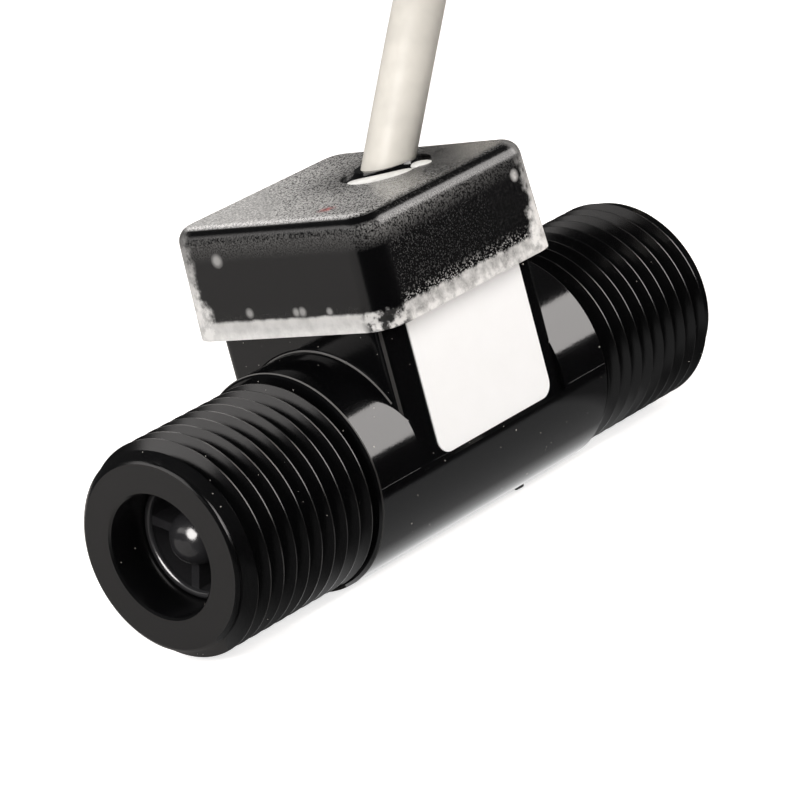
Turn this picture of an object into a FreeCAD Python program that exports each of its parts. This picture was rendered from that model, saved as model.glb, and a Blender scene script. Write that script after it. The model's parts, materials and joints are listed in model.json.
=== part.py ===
"""In-line turbine flow sensor with two half-inch pipe threads, in millimetres.

X is the flow axis, +Z is up through the tower and its cap, and the label faces -Y.
The origin is on the surface that the sensor rests on, under the middle of its length.
"""
import FreeCAD
import Part
import math
import os

V = FreeCAD.Vector

# Body: a tube with a threaded end each side of a plain neck, and a tower on its middle
body_length = 73.0
thread_diameter = 20.955
thread_chamfer = 1.5
neck_length = 35.2
neck_diameter = 21.9
neck_chamfer = 0.3
saddle_x = -0.3
saddle_y = -0.2
bore_diameter = 12.0
bore_chamfer = 0.2
chamber_diameter = 11.0
tower_length = 23.0
tower_inset = 0.75
tower_height = 14.8
tower_edge = 1.0
flat_drop = 1.3
pocket_wall = 1.6
pocket_floor = 1.6

# Cap: an open-bottomed box that slips over the tower and is filled with resin
cap_fit = 0.5
cap_side_gap = 1.8
cap_wall = 0.95
cap_overlap = 1.9
cap_height = 10.95
cap_draft = 2.0
cap_corner = 3.0
cap_edge = 1.6
cap_hole_diameter = 9.0
resin_shrink = 0.03

# Label on the tower's side
label_length = 17.2
label_offset = 0.7
label_below_axis = 1.1
label_above_axis = 13.6
label_corner = 1.5
label_thickness = 0.12

# Spiders: rim, vanes and a long hub with a domed nose
spider_depth = 5.0
spider_length = 12.0
spider_fit = 0.03
rim_wall = 0.7
vane_count = 4
vane_thickness = 0.9
vane_angle = 20.0
hub_diameter = 5.2
nose_length = 2.2

# Turbine, its shaft and the bushes that it turns in
rotor_length = 13.0
rotor_hub_diameter = 5.0
rotor_end_chamfer = 0.4
blade_count = 6
blade_length = 11.0
blade_thickness = 0.8
blade_twist = 70.0
tip_clearance = 0.3
shaft_diameter = 1.5
shaft_clearance = 0.04
bush_diameter = 3.2
bush_length = 4.0
bush_flange_diameter = 4.4
bush_flange = 0.6
end_float = 0.2
press_clearance = 0.02
magnet_diameter = 1.5
magnet_length = 1.2

# Electronics on the pocket's floor
board_length = 16.0
board_width = 14.0
board_thickness = 1.0
board_corner = 1.0
sensor_length = 4.0
sensor_width = 3.0
sensor_height = 1.5
sensor_lead = 0.4
sensor_lead_pitch = 1.27
sensor_lead_height = 1.0
chip_length = 2.0
chip_width = 1.25
capacitor_height = 1.2
resistor_height = 0.5
wire_diameter = 1.1
wire_straight = 3.5
pad_rise = 4.0

# Cable, and the flat loop that its put-away length is folded into
cable_diameter = 5.0
cable_entry = 5.5
cable_exit_x = 3.9
cable_exit_y = -2.0
core_offset = 1.35
hank_bend_radius = 15.0
hank_left = 14.0
hank_right = 52.0
hank_front = 13.0
hank_entry = 26.0
hank_end = 25.0
hank_slack = 0.15
tie_x = 30.0
tie_thickness = 0.7
tie_width = 2.5
tie_clearance = 0.3
tie_head = 3.6
splay_length = 5.0
splay_width = 1.0
strand_diameter = 0.7
strand_length = 3.5

# Values that follow from the sizes above
axis_z = max(neck_diameter, thread_diameter) / 2
half_body = body_length / 2
neck_start = saddle_x - neck_length / 2
neck_end = saddle_x + neck_length / 2
neck_radius = neck_diameter / 2
bore_radius = bore_diameter / 2
chamber_radius = chamber_diameter / 2
tower_width = neck_diameter - 2 * tower_inset
tower_top = axis_z + tower_height
pocket_base = axis_z + chamber_radius + pocket_floor
tower_face = saddle_y - tower_width / 2
cap_length = tower_length + 2 * (cap_fit + cap_wall)
cap_width = tower_width + 2 * (cap_side_gap + cap_wall)
cap_bottom = tower_top - cap_overlap
cap_top = cap_bottom + cap_height
cavity_top = cap_top - cap_wall
spider_front = half_body - spider_depth
spider_back = spider_front - spider_length
hub_radius = hub_diameter / 2
hub_end = rotor_length / 2 + end_float + bush_flange
shaft_half_length = hub_end + bush_length - 2 * end_float
board_base = pocket_base + press_clearance + sensor_height + sensor_lead_height
board_top = board_base + board_thickness
hank_lift = tie_thickness + tie_clearance
hank_width = cable_diameter + 2 * hank_slack
hank_middle_z = hank_lift + hank_width / 2
hank_return = hank_front + 2 * hank_bend_radius
hank_back = hank_return + hank_width

# The cable leans as it leaves the cap, bends over and comes down behind the sensor
lean = V(0.2565, -0.3385, 0.9053)
exit_point = V(cable_exit_x, cable_exit_y, cap_top)
cable_start = exit_point - lean * cable_entry
lead_route = [
    cable_start,
    V(6.5, -5.4, 44.0),
    V(16.4, -5.3, 56.4),
    V(29.5, 0.5, 63.6),
    V(42.3, 10.1, 63.7),
    V(51.4, 21.2, 56.5),
    V(57.7, 33.9, 44.7),
    V(55.8, 42.6, 27.3),
    V(48.3, 46.8, 12.7),
    V(34.0, hank_back, hank_middle_z),
    V(17.6, hank_back, hank_middle_z),
]


def tube_x(radius, start, end):
    """Round bar along the flow axis from x = start to x = end."""
    return Part.makeCylinder(radius, end - start, V(start, 0, axis_z), V(1, 0, 0))


def block(length, width, bottom, top, corner):
    """Upright block with rounded vertical edges, on the middle of the saddle."""
    place = V(saddle_x - length / 2, saddle_y - width / 2, bottom)
    box = Part.makeBox(length, width, top - bottom, place)
    upright = [e for e in box.Edges if abs(e.tangentAt(e.FirstParameter).z) > 0.99]
    return box.makeFillet(corner, upright)


def drafted_block(inset, bottom, top, edge):
    """Block inside the cap's outside by inset, narrowing upwards by the draft, with a rounded top edge."""
    outlines = []
    for z in (bottom, top):
        narrowing = inset + (z - cap_bottom) * math.tan(math.radians(cap_draft))
        slab = block(cap_length - 2 * narrowing, cap_width - 2 * narrowing, z, z + cap_wall, cap_corner - narrowing)
        foot = min(slab.Faces, key=lambda face: face.CenterOfMass.z)
        outlines.append(foot.OuterWire)
    solid = Part.makeLoft(outlines, True, True)
    return solid.makeFillet(edge, edges_at_height(solid, top))


def edges_at_height(shape, height):
    """Edges that lie wholly at one height."""
    return [e for e in shape.Edges if all(abs(v.Z - height) < 1e-6 for v in e.Vertexes)]


def spun_x(outline):
    """Solid of revolution about the flow axis, from (x, radius) corners."""
    corners = [V(x, 0, axis_z + r) for x, r in outline]
    face = Part.Face(Part.makePolygon(corners + corners[:1]))
    return face.revolve(V(0, 0, axis_z), V(1, 0, 0), 360)


def route_path(points):
    """Wire of straight runs joined by the largest tangent arcs that the runs allow."""
    edges = []
    radii = []
    last = points[0]
    for before, corner, after in zip(points, points[1:], points[2:]):
        inward = (corner - before).normalize()
        outward = (after - corner).normalize()
        turn = inward.getAngle(outward)
        reach = 0.45 * min(before.distanceToPoint(corner), corner.distanceToPoint(after))
        radius = reach / math.tan(turn / 2)
        start = corner - inward * reach
        end = corner + outward * reach
        bisector = (outward - inward).normalize()
        middle = corner + bisector * (radius / math.cos(turn / 2) - radius)
        edges.append(Part.LineSegment(last, start).toShape())
        edges.append(Part.Arc(start, middle, end).toShape())
        radii.append(radius)
        last = end
    edges.append(Part.LineSegment(last, points[-1]).toShape())
    return Part.Wire(edges), radii


def round_tube(points, diameter, name):
    """Round solid along a route; prints its bend radii and its volume against section times length."""
    path, radii = route_path(points)
    ring = Part.Wire(Part.makeCircle(diameter / 2, points[0], points[1] - points[0]))
    tube = path.makePipe(Part.Face(ring))
    expected = math.pi * diameter ** 2 / 4 * path.Length
    print(name, "length", round(path.Length, 1), "volume ratio", round(tube.Volume / expected, 4))
    print(name, "bend radii", [round(r, 1) for r in radii])
    return tube


def make_body():
    """Moulded body: threaded ends at their major diameter, necks, tower, stepped bore, sensor pocket."""
    thread_radius = thread_diameter / 2
    outline = [
        (-half_body, 0),
        (-half_body, thread_radius - thread_chamfer),
        (-half_body + thread_chamfer, thread_radius),
        (neck_start, thread_radius),
        (neck_start, neck_radius - neck_chamfer),
        (neck_start + neck_chamfer, neck_radius),
        (neck_end - neck_chamfer, neck_radius),
        (neck_end, neck_radius - neck_chamfer),
        (neck_end, thread_radius),
        (half_body - thread_chamfer, thread_radius),
        (half_body, thread_radius - thread_chamfer),
        (half_body, 0),
    ]
    tower = block(tower_length, tower_width, axis_z, tower_top, tower_edge)
    solid = spun_x(outline).fuse(tower)
    mouth = bore_radius + bore_chamfer
    bore = [
        (-half_body, 0),
        (-half_body, mouth),
        (-half_body + bore_chamfer, bore_radius),
        (-spider_back, bore_radius),
        (-spider_back, chamber_radius),
        (spider_back, chamber_radius),
        (spider_back, bore_radius),
        (half_body - bore_chamfer, bore_radius),
        (half_body, mouth),
        (half_body, 0),
    ]
    pocket = pocket_space(pocket_base, tower_top, 0.0)
    return solid.cut([spun_x(bore), pocket, *side_flats()])


def side_flats():
    """What is cut off the neck so that the tower's side faces run on down to the mould's parting line."""
    depth = neck_diameter
    corner = V(saddle_x - tower_length / 2, 0, axis_z - flat_drop)
    flats = []
    for y in (tower_face - depth, tower_face + tower_width):
        flats.append(Part.makeBox(tower_length, depth, tower_height, corner + V(0, y, 0)))
    return flats


def pocket_space(bottom, top, inset):
    """Room inside the tower's walls, drawn in by inset on all sides."""
    length = tower_length - 2 * (pocket_wall + inset)
    width = tower_width - 2 * (pocket_wall + inset)
    return block(length, width, bottom + inset, top, tower_edge)


def cap_cavity(bottom, inset):
    """Room inside the cap's walls, drawn in by inset at the sides and the top."""
    return drafted_block(cap_wall + inset, bottom, cavity_top - inset, cap_edge - cap_wall)


def hole_centre():
    """Where the leaning cable's middle crosses the middle of the cap's top wall."""
    return exit_point - lean * (cap_wall / 2 / lean.z)


def make_cap():
    """Frosted cap: walls, rounded top edge and the cable's hole."""
    shell = drafted_block(0.0, cap_bottom, cap_top, cap_edge)
    centre = hole_centre()
    foot = V(centre.x, centre.y, cavity_top - cap_wall / 2)
    hole = Part.makeCylinder(cap_hole_diameter / 2, 2 * cap_wall, foot)
    return shell.cut(cap_cavity(cap_bottom, 0.0)).cut(hole)


def make_cable_seal(cable):
    """Resin that fills the cap's hole and climbs a little up the cable."""
    centre = hole_centre()
    outer = cap_hole_diameter / 2 - resin_shrink
    inner = cable_diameter / 2 + cap_wall / 2
    low = V(centre.x, centre.y, cavity_top)
    rim = V(centre.x + outer, centre.y, cavity_top)
    edge = V(centre.x + outer, centre.y, cap_top - cap_wall / 4)
    dip = V(centre.x + (outer + inner) / 2, centre.y, cap_top - cap_wall / 4)
    climb = V(centre.x + inner, centre.y, cap_top + cap_wall / 2)
    peak = V(centre.x, centre.y, cap_top + cap_wall / 2)
    outline = [
        Part.LineSegment(low, rim).toShape(),
        Part.LineSegment(rim, edge).toShape(),
        Part.Arc(edge, dip, climb).toShape(),
        Part.LineSegment(climb, peak).toShape(),
        Part.LineSegment(peak, low).toShape(),
    ]
    bead = Part.Face(Part.Wire(outline)).revolve(low, V(0, 0, 1), 360)
    return bead.cut(cable)


def make_potting(embedded):
    """Resin in the pocket and the cap, moulded round everything embedded in it."""
    fill = cap_cavity(tower_top, resin_shrink).fuse(pocket_space(pocket_base, tower_top, resin_shrink))
    return fill.cut(embedded)


def make_label():
    """Thin label on the tower's flat side, with round lower corners."""
    bottom = axis_z - label_below_axis
    height = label_above_axis + label_below_axis
    start = saddle_x + label_offset - label_length / 2
    film = Part.makeBox(label_length, label_thickness, height, V(start, tower_face - label_thickness, bottom))
    lower = [
        e for e in film.Edges
        if abs(e.tangentAt(e.FirstParameter).y) > 0.99 and e.CenterOfMass.z < bottom + height / 2
    ]
    return film.makeFillet(label_corner, lower)


def make_spider():
    """Flow straightener at the inlet end: rim, radial vanes, and a hub that holds the bush."""
    rim_radius = bore_radius - spider_fit
    rim = tube_x(rim_radius, -spider_front, -spider_back)
    rim = rim.cut(tube_x(rim_radius - rim_wall, -spider_front, -spider_back))
    nose_tip = V(-spider_front - nose_length, 0, axis_z)
    shoulder = V(-spider_front, 0, axis_z + hub_radius)
    bulge = V(-spider_front - 0.72 * nose_length, 0, axis_z + 0.7 * hub_radius)
    inner_edge = V(-hub_end, 0, axis_z + hub_radius)
    inner_end = V(-hub_end, 0, axis_z)
    outline = [
        Part.Arc(nose_tip, bulge, shoulder).toShape(),
        Part.LineSegment(shoulder, inner_edge).toShape(),
        Part.LineSegment(inner_edge, inner_end).toShape(),
        Part.LineSegment(inner_end, nose_tip).toShape(),
    ]
    hub = Part.Face(Part.Wire(outline)).revolve(inner_end, V(1, 0, 0), 360)
    spider = rim.fuse(hub)
    vane_reach = rim_radius - rim_wall / 2
    for number in range(vane_count):
        corner = V(-spider_front, -vane_thickness / 2, axis_z)
        vane = Part.makeBox(spider_length, vane_thickness, vane_reach, corner)
        turn = vane_angle + 90 + number * 360 / vane_count
        spider = spider.fuse(vane.rotated(V(0, 0, axis_z), V(1, 0, 0), turn))
    seat = tube_x(bush_diameter / 2 + press_clearance, -hub_end - bush_length - press_clearance, -hub_end)
    return spider.cut(seat)


def make_bush():
    """Flanged bush in the inlet spider's hub."""
    sleeve = tube_x(bush_diameter / 2, -hub_end - bush_length, -hub_end)
    flange = tube_x(bush_flange_diameter / 2, -hub_end, -hub_end + bush_flange)
    way = tube_x(shaft_diameter / 2 + shaft_clearance, -hub_end - bush_length, -hub_end + bush_flange)
    return sleeve.fuse(flange).cut(way)


def mirrored(shape):
    """The same piece at the outlet end."""
    return shape.mirror(V(0, 0, 0), V(1, 0, 0))


def blade_section(x, angle):
    """Blade outline across the flow axis at x, from inside the hub to the tip."""
    root = rotor_hub_diameter / 2 - blade_thickness
    tip = chamber_radius - tip_clearance
    along = V(0, math.cos(angle), math.sin(angle))
    across = V(0, -math.sin(angle), math.cos(angle)) * (blade_thickness / 2)
    centre = V(x, 0, axis_z)
    corners = [
        centre + along * root - across,
        centre + along * tip - across,
        centre + along * tip + across,
        centre + along * root + across,
    ]
    return Part.makePolygon(corners + corners[:1])


def make_rotor():
    """Turbine: hub with helical blades, bored for its shaft and pocketed for its magnets."""
    half = rotor_length / 2
    hub_r = rotor_hub_diameter / 2
    outline = [
        (-half, 0),
        (-half, hub_r - rotor_end_chamfer),
        (-half + rotor_end_chamfer, hub_r),
        (half - rotor_end_chamfer, hub_r),
        (half, hub_r - rotor_end_chamfer),
        (half, 0),
    ]
    rotor = spun_x(outline)
    stations = 5
    for number in range(blade_count):
        start = 2 * math.pi * number / blade_count
        sections = []
        for step in range(stations):
            share = step / (stations - 1) - 0.5
            sections.append(blade_section(share * blade_length, start + math.radians(blade_twist) * share))
        rotor = rotor.fuse(Part.makeLoft(sections, True, False))
    shaft_way = tube_x(shaft_diameter / 2 + press_clearance, -half, half)
    return rotor.cut([shaft_way, *magnet_bars(press_clearance)])


def magnet_bars(clearance):
    """Round bars set into the hub midway between the blades' roots, grown by clearance."""
    radius = magnet_diameter / 2 + clearance
    foot = rotor_hub_diameter / 2 - magnet_length - clearance
    bars = []
    for number in range(blade_count):
        angle = 2 * math.pi * (number + 0.5) / blade_count
        outward = V(0, math.cos(angle), math.sin(angle))
        place = V(0, 0, axis_z) + outward * foot
        bars.append(Part.makeCylinder(radius, magnet_length + 2 * clearance, place, outward))
    return bars


def make_magnets():
    """Magnets flush with the hub's round surface."""
    hub = tube_x(rotor_hub_diameter / 2, -rotor_length / 2, rotor_length / 2)
    return [bar.common(hub) for bar in magnet_bars(0.0)]


def make_sensor():
    """Hall pick-up lying on the pocket's floor, over the turbine."""
    base = pocket_base + press_clearance
    corner = V(saddle_x - sensor_length / 2, -sensor_width / 2, base)
    case = Part.makeBox(sensor_length, sensor_width, sensor_height, corner)
    bevelled = edges_at_height(case, base + sensor_height)
    return case.makeChamfer(sensor_height / 5, bevelled)


def make_sensor_leads():
    """Three leads from the pick-up to the board."""
    base = pocket_base + press_clearance + sensor_height
    leads = []
    for number in (-1, 0, 1):
        place = V(saddle_x + number * sensor_lead_pitch - sensor_lead / 2, -sensor_lead / 2, base)
        leads.append(Part.makeBox(sensor_lead, sensor_lead, sensor_lead_height, place))
    return leads


def make_chip(x, y, height):
    """Small surface-mounted part on the board."""
    corner = V(saddle_x + x - chip_length / 2, y - chip_width / 2, board_top)
    return Part.makeBox(chip_length, chip_width, height, corner)


def inner_wire_route(side, knees, pad):
    """Route of one conductor: out of the jacket's end, past its knees and squarely down onto its pad."""
    across = lean.cross(V(0, 0, 1)).normalize() * (side * core_offset)
    start = cable_start + across
    return [start, start - lean * wire_straight, *knees, pad + V(0, 0, pad_rise), pad]


def stadium(x, radius):
    """Face across X round the loop's two ends where they lie side by side."""
    low = V(x, hank_return, hank_middle_z - radius)
    low_far = V(x, hank_back, hank_middle_z - radius)
    far = V(x, hank_back + radius, hank_middle_z)
    high_far = V(x, hank_back, hank_middle_z + radius)
    high = V(x, hank_return, hank_middle_z + radius)
    near = V(x, hank_return - radius, hank_middle_z)
    outline = [
        Part.LineSegment(low, low_far).toShape(),
        Part.Arc(low_far, far, high_far).toShape(),
        Part.LineSegment(high_far, high).toShape(),
        Part.Arc(high, near, low).toShape(),
    ]
    return Part.Face(Part.Wire(outline))


def make_tie():
    """Cable tie round the loop's two ends, with its head at the loop's inner side."""
    inner = hank_width / 2 + tie_clearance
    outer = inner + tie_thickness
    start = tie_x - tie_width / 2
    strap = stadium(start, outer).extrude(V(tie_width, 0, 0))
    depth = tie_head / 1.5
    place = V(tie_x - tie_head / 2, hank_return - inner - depth, hank_middle_z - tie_head / 2)
    head = Part.makeBox(tie_head, depth, tie_head, place)
    way = stadium(start - tie_width, inner).extrude(V(3 * tie_width, 0, 0))
    return strap.fuse(head).cut(way)


def cable_section(x, y):
    """Eight-sided face round the lying cable, across X."""
    corner = hank_width / 2 / math.cos(math.pi / 8)
    points = []
    for number in range(8):
        angle = math.pi * (number + 0.5) / 4
        points.append(V(x, y + corner * math.cos(angle), hank_middle_z + corner * math.sin(angle)))
    return Part.Face(Part.makePolygon(points + points[:1]))


def fold(x, y, turn):
    """Half ring from the front run to the back run at y, about an upright axis at x."""
    return cable_section(x, hank_front).revolve(V(x, (hank_front + y) / 2, 0), V(0, 0, 1), turn)


def make_hank():
    """Outer shape of the folded cable: a long flat loop, its two ends side by side at the back."""
    entry_run = cable_section(hank_left, hank_back).extrude(V(hank_entry - hank_left, 0, 0))
    front_run = cable_section(hank_left, hank_front).extrude(V(hank_right - hank_left, 0, 0))
    end_run = cable_section(hank_end, hank_return).extrude(V(hank_right - hank_end, 0, 0))
    left_fold = fold(hank_left, hank_back, -180)
    right_fold = fold(hank_right, hank_return, 180)
    return entry_run.fuse([left_fold, front_run, right_fold, end_run]).removeSplitter()


def make_lead_wire(side):
    """One stripped conductor at the cable's end, splayed and lying down, with its bare strand."""
    along = V(-splay_length, 0, 0)
    across = V(0, splay_width * (side - 1), 0)
    start = V(hank_end + wire_diameter, hank_return + side * core_offset, hank_middle_z)
    floor = wire_diameter / 2 + tie_clearance
    knee = start + along + across + V(0, 0, floor + wire_diameter - start.z)
    end = start + along * 2 + across * 3 + V(0, 0, floor - start.z)
    wire = round_tube([start, knee, end], wire_diameter, "stripped wire")
    level = V(end.x - knee.x, end.y - knee.y, 0).normalize()
    root = end - level * strand_diameter
    strand = Part.makeCylinder(strand_diameter / 2, strand_length + strand_diameter, root, level)
    return wire.fuse(strand)


def write(shape, name):
    shape.exportStep("parts/" + name + ".step")


os.makedirs("parts", exist_ok=True)

write(make_body(), "body")
write(make_label(), "label")

spider = make_spider()
bush = make_bush()
write(spider, "inlet_spider")
write(mirrored(spider), "outlet_spider")
write(bush, "inlet_bush")
write(mirrored(bush), "outlet_bush")

shaft = tube_x(shaft_diameter / 2, -shaft_half_length, shaft_half_length)
write(make_rotor(), "turbine_rotor")
write(shaft, "rotor_shaft")
write(Part.makeCompound(make_magnets()), "rotor_magnets")

sensor = make_sensor()
sensor_leads = make_sensor_leads()
board = block(board_length, board_width, board_base, board_top, board_corner)
capacitor = make_chip(board_length / 4, board_width / 4, capacitor_height)
resistor = make_chip(board_length / 4, -board_width / 4, resistor_height)
pad_x = saddle_x - board_length / 3
pads = [V(pad_x, y * board_width, board_top) for y in (-0.3, 0.0, 0.3)]
red_top = V(saddle_x - cap_length * 0.36, -cap_width * 0.24, cavity_top - wire_diameter)
wires = {
    "inner_wire_red": inner_wire_route(1, [red_top], pads[0]),
    "inner_wire_black": inner_wire_route(0, [], pads[1]),
    "inner_wire_white": inner_wire_route(-1, [], pads[2]),
}
wire_solids = {name: round_tube(route, wire_diameter, name) for name, route in wires.items()}
wire_room = [round_tube(route, wire_diameter + 4 * resin_shrink, "room") for route in wires.values()]

cable = round_tube(lead_route, cable_diameter, "lead_cable")
seal = make_cable_seal(cable)
potting = make_potting([cable, sensor, *sensor_leads, board, capacitor, resistor, *wire_room])
write(make_cap(), "cap")
write(potting, "potting")
write(seal, "cable_seal")
write(sensor, "hall_sensor")
write(Part.makeCompound(sensor_leads), "hall_leads")
write(board, "circuit_board")
write(capacitor, "bypass_capacitor")
write(resistor, "pull_up_resistor")
for name, solid in wire_solids.items():
    write(solid, name)

hank = make_hank()
write(cable.cut(hank), "lead_cable")
write(hank, "cable_hank")
write(make_tie(), "cable_tie")
for colour, side in (("red", -1), ("black", 0), ("white", 1)):
    write(make_lead_wire(side).cut(hank), "lead_wire_" + colour)
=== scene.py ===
"""Dresses the in-line turbine flow sensor: its pipe threads, finishes, cable, light and camera.

Lengths are in metres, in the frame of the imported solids: X along the flow, Z up through the cap.
"""
import json
import math

import bmesh
import bpy
from bmesh.types import BMEdge, BMVert
from mathutils import Matrix, Vector


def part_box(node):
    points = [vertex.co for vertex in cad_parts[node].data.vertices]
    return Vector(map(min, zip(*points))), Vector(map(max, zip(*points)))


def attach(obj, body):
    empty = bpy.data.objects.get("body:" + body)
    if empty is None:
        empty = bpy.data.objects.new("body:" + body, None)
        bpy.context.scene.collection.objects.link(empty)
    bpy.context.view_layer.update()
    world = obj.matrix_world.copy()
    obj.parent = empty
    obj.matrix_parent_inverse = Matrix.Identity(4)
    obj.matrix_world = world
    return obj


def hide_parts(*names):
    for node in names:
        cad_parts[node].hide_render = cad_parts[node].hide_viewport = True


bl_info = {
    "name": "Turbine flow sensor",
    "version": (1, 0, 0),
    "blender": (4, 5, 0),
    "location": "View3D > Sidebar > Flow sensor",
    "description": "Finishes a turbine flow sensor around its packed solids",
    "category": "Object",
}

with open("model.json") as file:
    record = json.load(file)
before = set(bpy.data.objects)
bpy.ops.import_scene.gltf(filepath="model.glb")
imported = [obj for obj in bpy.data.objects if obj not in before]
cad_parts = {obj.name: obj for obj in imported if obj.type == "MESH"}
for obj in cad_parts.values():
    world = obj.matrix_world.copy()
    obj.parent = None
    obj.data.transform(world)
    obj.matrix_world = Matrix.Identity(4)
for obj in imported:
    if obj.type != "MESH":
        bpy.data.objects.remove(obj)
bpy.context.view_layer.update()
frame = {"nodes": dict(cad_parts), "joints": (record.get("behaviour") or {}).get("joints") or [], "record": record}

MM = 0.001
# A gap or overlap too small to see, and how close an edge has to lie to count as there
HAIR = 0.01 * MM
NEAR = 0.002 * MM
# A face whose normal is turned along the flow by this much is an end face, and stays flat
END_FACE = 0.999
HOUSING = "housing"
MOUNTS = {mount["name"]: mount for mount in frame["record"]["mounts"]}
AXIS = Vector(frame["joints"][0]["pos_m"])
BODY_LOW, BODY_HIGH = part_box("body")
CAP_LOW, CAP_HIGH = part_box("cap")
CAP_MIDDLE = (CAP_LOW + CAP_HIGH) / 2
SEAL_LOW, SEAL_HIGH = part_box("cable_seal")
SEAL_MIDDLE = (SEAL_LOW + SEAL_HIGH) / 2
THREAD_RADIUS = MOUNTS["inlet_thread"]["dims"]["r_mm"] * MM
NECK_RADIUS = AXIS.z - BODY_LOW.z
WIRES = ("red", "black", "white")

# Steps round the turned shapes
THREAD_STEPS = 96
NECK_STEPS = 192
FILLET_STEPS = 48
RIM_STEPS = 96
PAINTED_REFLECTION_STEPS = 24
GATE_STEPS = 24
SEAM_STEPS = 10

# Collections that say which objects a light reaches or leaves out
LAMP_LIT = "lit_by_inlet_lamp"
CABLE_LIT = "lit_by_cable_lamp"
CABLE_SPARED = "not_lit_by_soft_lights"


def length(name, description, default):
    """Length property with its default in millimetres."""
    return bpy.props.FloatProperty(
        name=name, description=description, default=default * MM, unit="LENGTH", precision=5)


def power(name, description, default):
    """Power property of a light, in watts."""
    return bpy.props.FloatProperty(name=name, description=description, default=default, unit="POWER")


def colour(name, description, default):
    """Colour property, written as an sRGB hex value."""
    return bpy.props.StringProperty(name=name, description=description, default=default)


class FlowSensorBodySizes(bpy.types.PropertyGroup):
    """Sizes of the moulded body, its threads and its tower."""

    thread_pitch: length("Thread pitch", "Half-inch parallel pipe thread, 14 turns to the inch", 1.814)
    thread_depth: length("Thread depth", "From crest to root", 1.16)
    crest_width: length("Crest width", "Flat on top of each turn", 0.11)
    root_width: length("Root width", "Flat at the bottom of each groove", 0.3)
    face_radius: length("Face radius", "Edge of the flat end face", 9.15)
    chamfer_length: length("Chamfer length", "From the end face to the first full crest", 1.5)
    edge_round: length("Edge round", "How far the face's edge is rounded off", 0.13)
    relief_width: length("Relief width", "Plain groove between the thread and the neck", 0.3)
    relief_slope: bpy.props.FloatProperty(
        name="Relief slope", description="Rise of the thread's run-out over its length", default=4.0)
    thread_phase: bpy.props.FloatProperty(
        name="Thread phase", description="Where round the axis the thread starts", default=0.0,
        unit="ROTATION")
    bore_radius: length("Bore radius", "Bore that the flow straightener sits in", 6.0)
    bore_chamfer: length("Bore chamfer", "Lead-in at the mouth of the bore", 0.2)
    bore_depth: length("Bore depth", "From the end face to the step", 17.0)
    chamber_radius: length("Chamber radius", "Bore round the turbine", 5.5)
    neck_chamfer: length("Neck chamfer", "At the neck's two shoulders", 0.3)
    tower_length: length("Tower length", "Along the flow", 23.0)
    tower_width: length("Tower width", "Across the flow", 20.4)
    tower_corner: length("Tower corner", "Radius of the tower's upright edges", 1.0)
    tower_wall: length("Tower wall", "Wall round the pocket for the electronics", 1.6)
    pocket_floor: length("Pocket floor", "Above the flow axis", 7.1)
    flat_drop: length("Flat drop", "How far the tower's sides run down below the flow axis", 1.3)
    seat_depth: length("Seat depth", "How deep the tower's walls stand in the neck", 1.5)
    flat_inset: length("Flat inset", "How far the flats stop short of the tower's end faces", 0.6)
    fillet: length("Fillet", "Between the neck and the tower's end faces", 0.3)
    seam_radius: length("Seam radius", "Half width of the line left where the mould parts", 0.02)
    seam_drop: length("Seam drop", "How far the seam lies below the flow axis", 0.9)
    gate_radius: length("Gate radius", "Stub left where the plastic was fed into the mould", 0.6)
    gate_length: length("Gate length", "Of the stub, half of it in the neck", 0.5)
    gate_place: length("Gate place", "Along the flow from the neck's middle", 9.2)
    gate_round: length("Gate round", "Broken edge of the stub", 0.1)


class FlowSensorCableSizes(bpy.types.PropertyGroup):
    """Sizes of the cable and of the flat loop that its spare length is folded into."""

    diameter: length("Cable diameter", "Over the jacket", 5.0)
    fold_left: length("Left fold", "Where the loop's left fold is centred along X", 14.0)
    fold_right: length("Right fold", "Where the loop's right fold is centred along X", 52.0)
    front_run: length("Front run", "Where the loop's front run lies along Y", 13.0)
    bend_radius: length("Bend radius", "Of the right fold's middle line", 15.0)
    side_by_side: length("Spacing", "Between the two ends where they are tied", 5.3)
    cable_end: length("Cable end", "Where the jacket stops along X", 25.0)


class FlowSensorColours(bpy.types.PropertyGroup):
    """Colours of the finishes, as sRGB hex values."""

    nylon: colour("Nylon", "Black moulded body", "#09090a")
    dust: colour("Dust", "Specks on black plastic", "#c9c4bc")
    # Pale of the body's crests and edges: partly wear, partly a painted highlight
    scuff_and_highlight: colour("Scuffed edge", "Thread crests and edges rubbed by handling", "#757371")
    straightener: colour("Straightener", "Black plastic in the bore", "#101011")
    label: colour("Label", "Plain white film", "#fafafa")
    label_edge: colour("Label shade", "Film where the glue lies thick", "#f5f5f4")
    wetted: colour("Wetted cap", "Clear cap where resin lies against it", "#09090a")
    milky: colour("Milky cap", "Clear frosted cap with air behind it", "#e9e7e4")
    # White of the beads round the cable, a painted reflection at its foot
    resin: colour("Resin", "Black casting resin", "#070708")
    painted_reflection: colour("Sealant", "White sealant squeezed out round the cable", "#f3f1ec")
    jacket: colour("Cable jacket", "Pale vinyl", "#f1eee5")
    tie: colour("Tie", "Natural nylon", "#dcd9cd")
    red: colour("Red wire", "Vinyl insulation", "#b3201e")
    black: colour("Black wire", "Vinyl insulation", "#161616")
    white: colour("White wire", "Vinyl insulation", "#e6e4de")
    acetal: colour("Acetal", "Natural moulded rotor", "#dedbd2")
    bush: colour("Bush", "Waxy white bearing plastic", "#e8e6df")
    steel: colour("Steel", "Ground stainless pin", "#b9babc")
    ferrite: colour("Ferrite", "Sintered magnet", "#3b3a3c")
    board: colour("Board", "Green solder mask", "#14532d")
    chip: colour("Chip", "Moulded chip case", "#1d1d1f")
    ceramic: colour("Ceramic", "Capacitor body", "#a8865c")
    tin: colour("Tin", "Tinned leads", "#c9c8c4")


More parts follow.
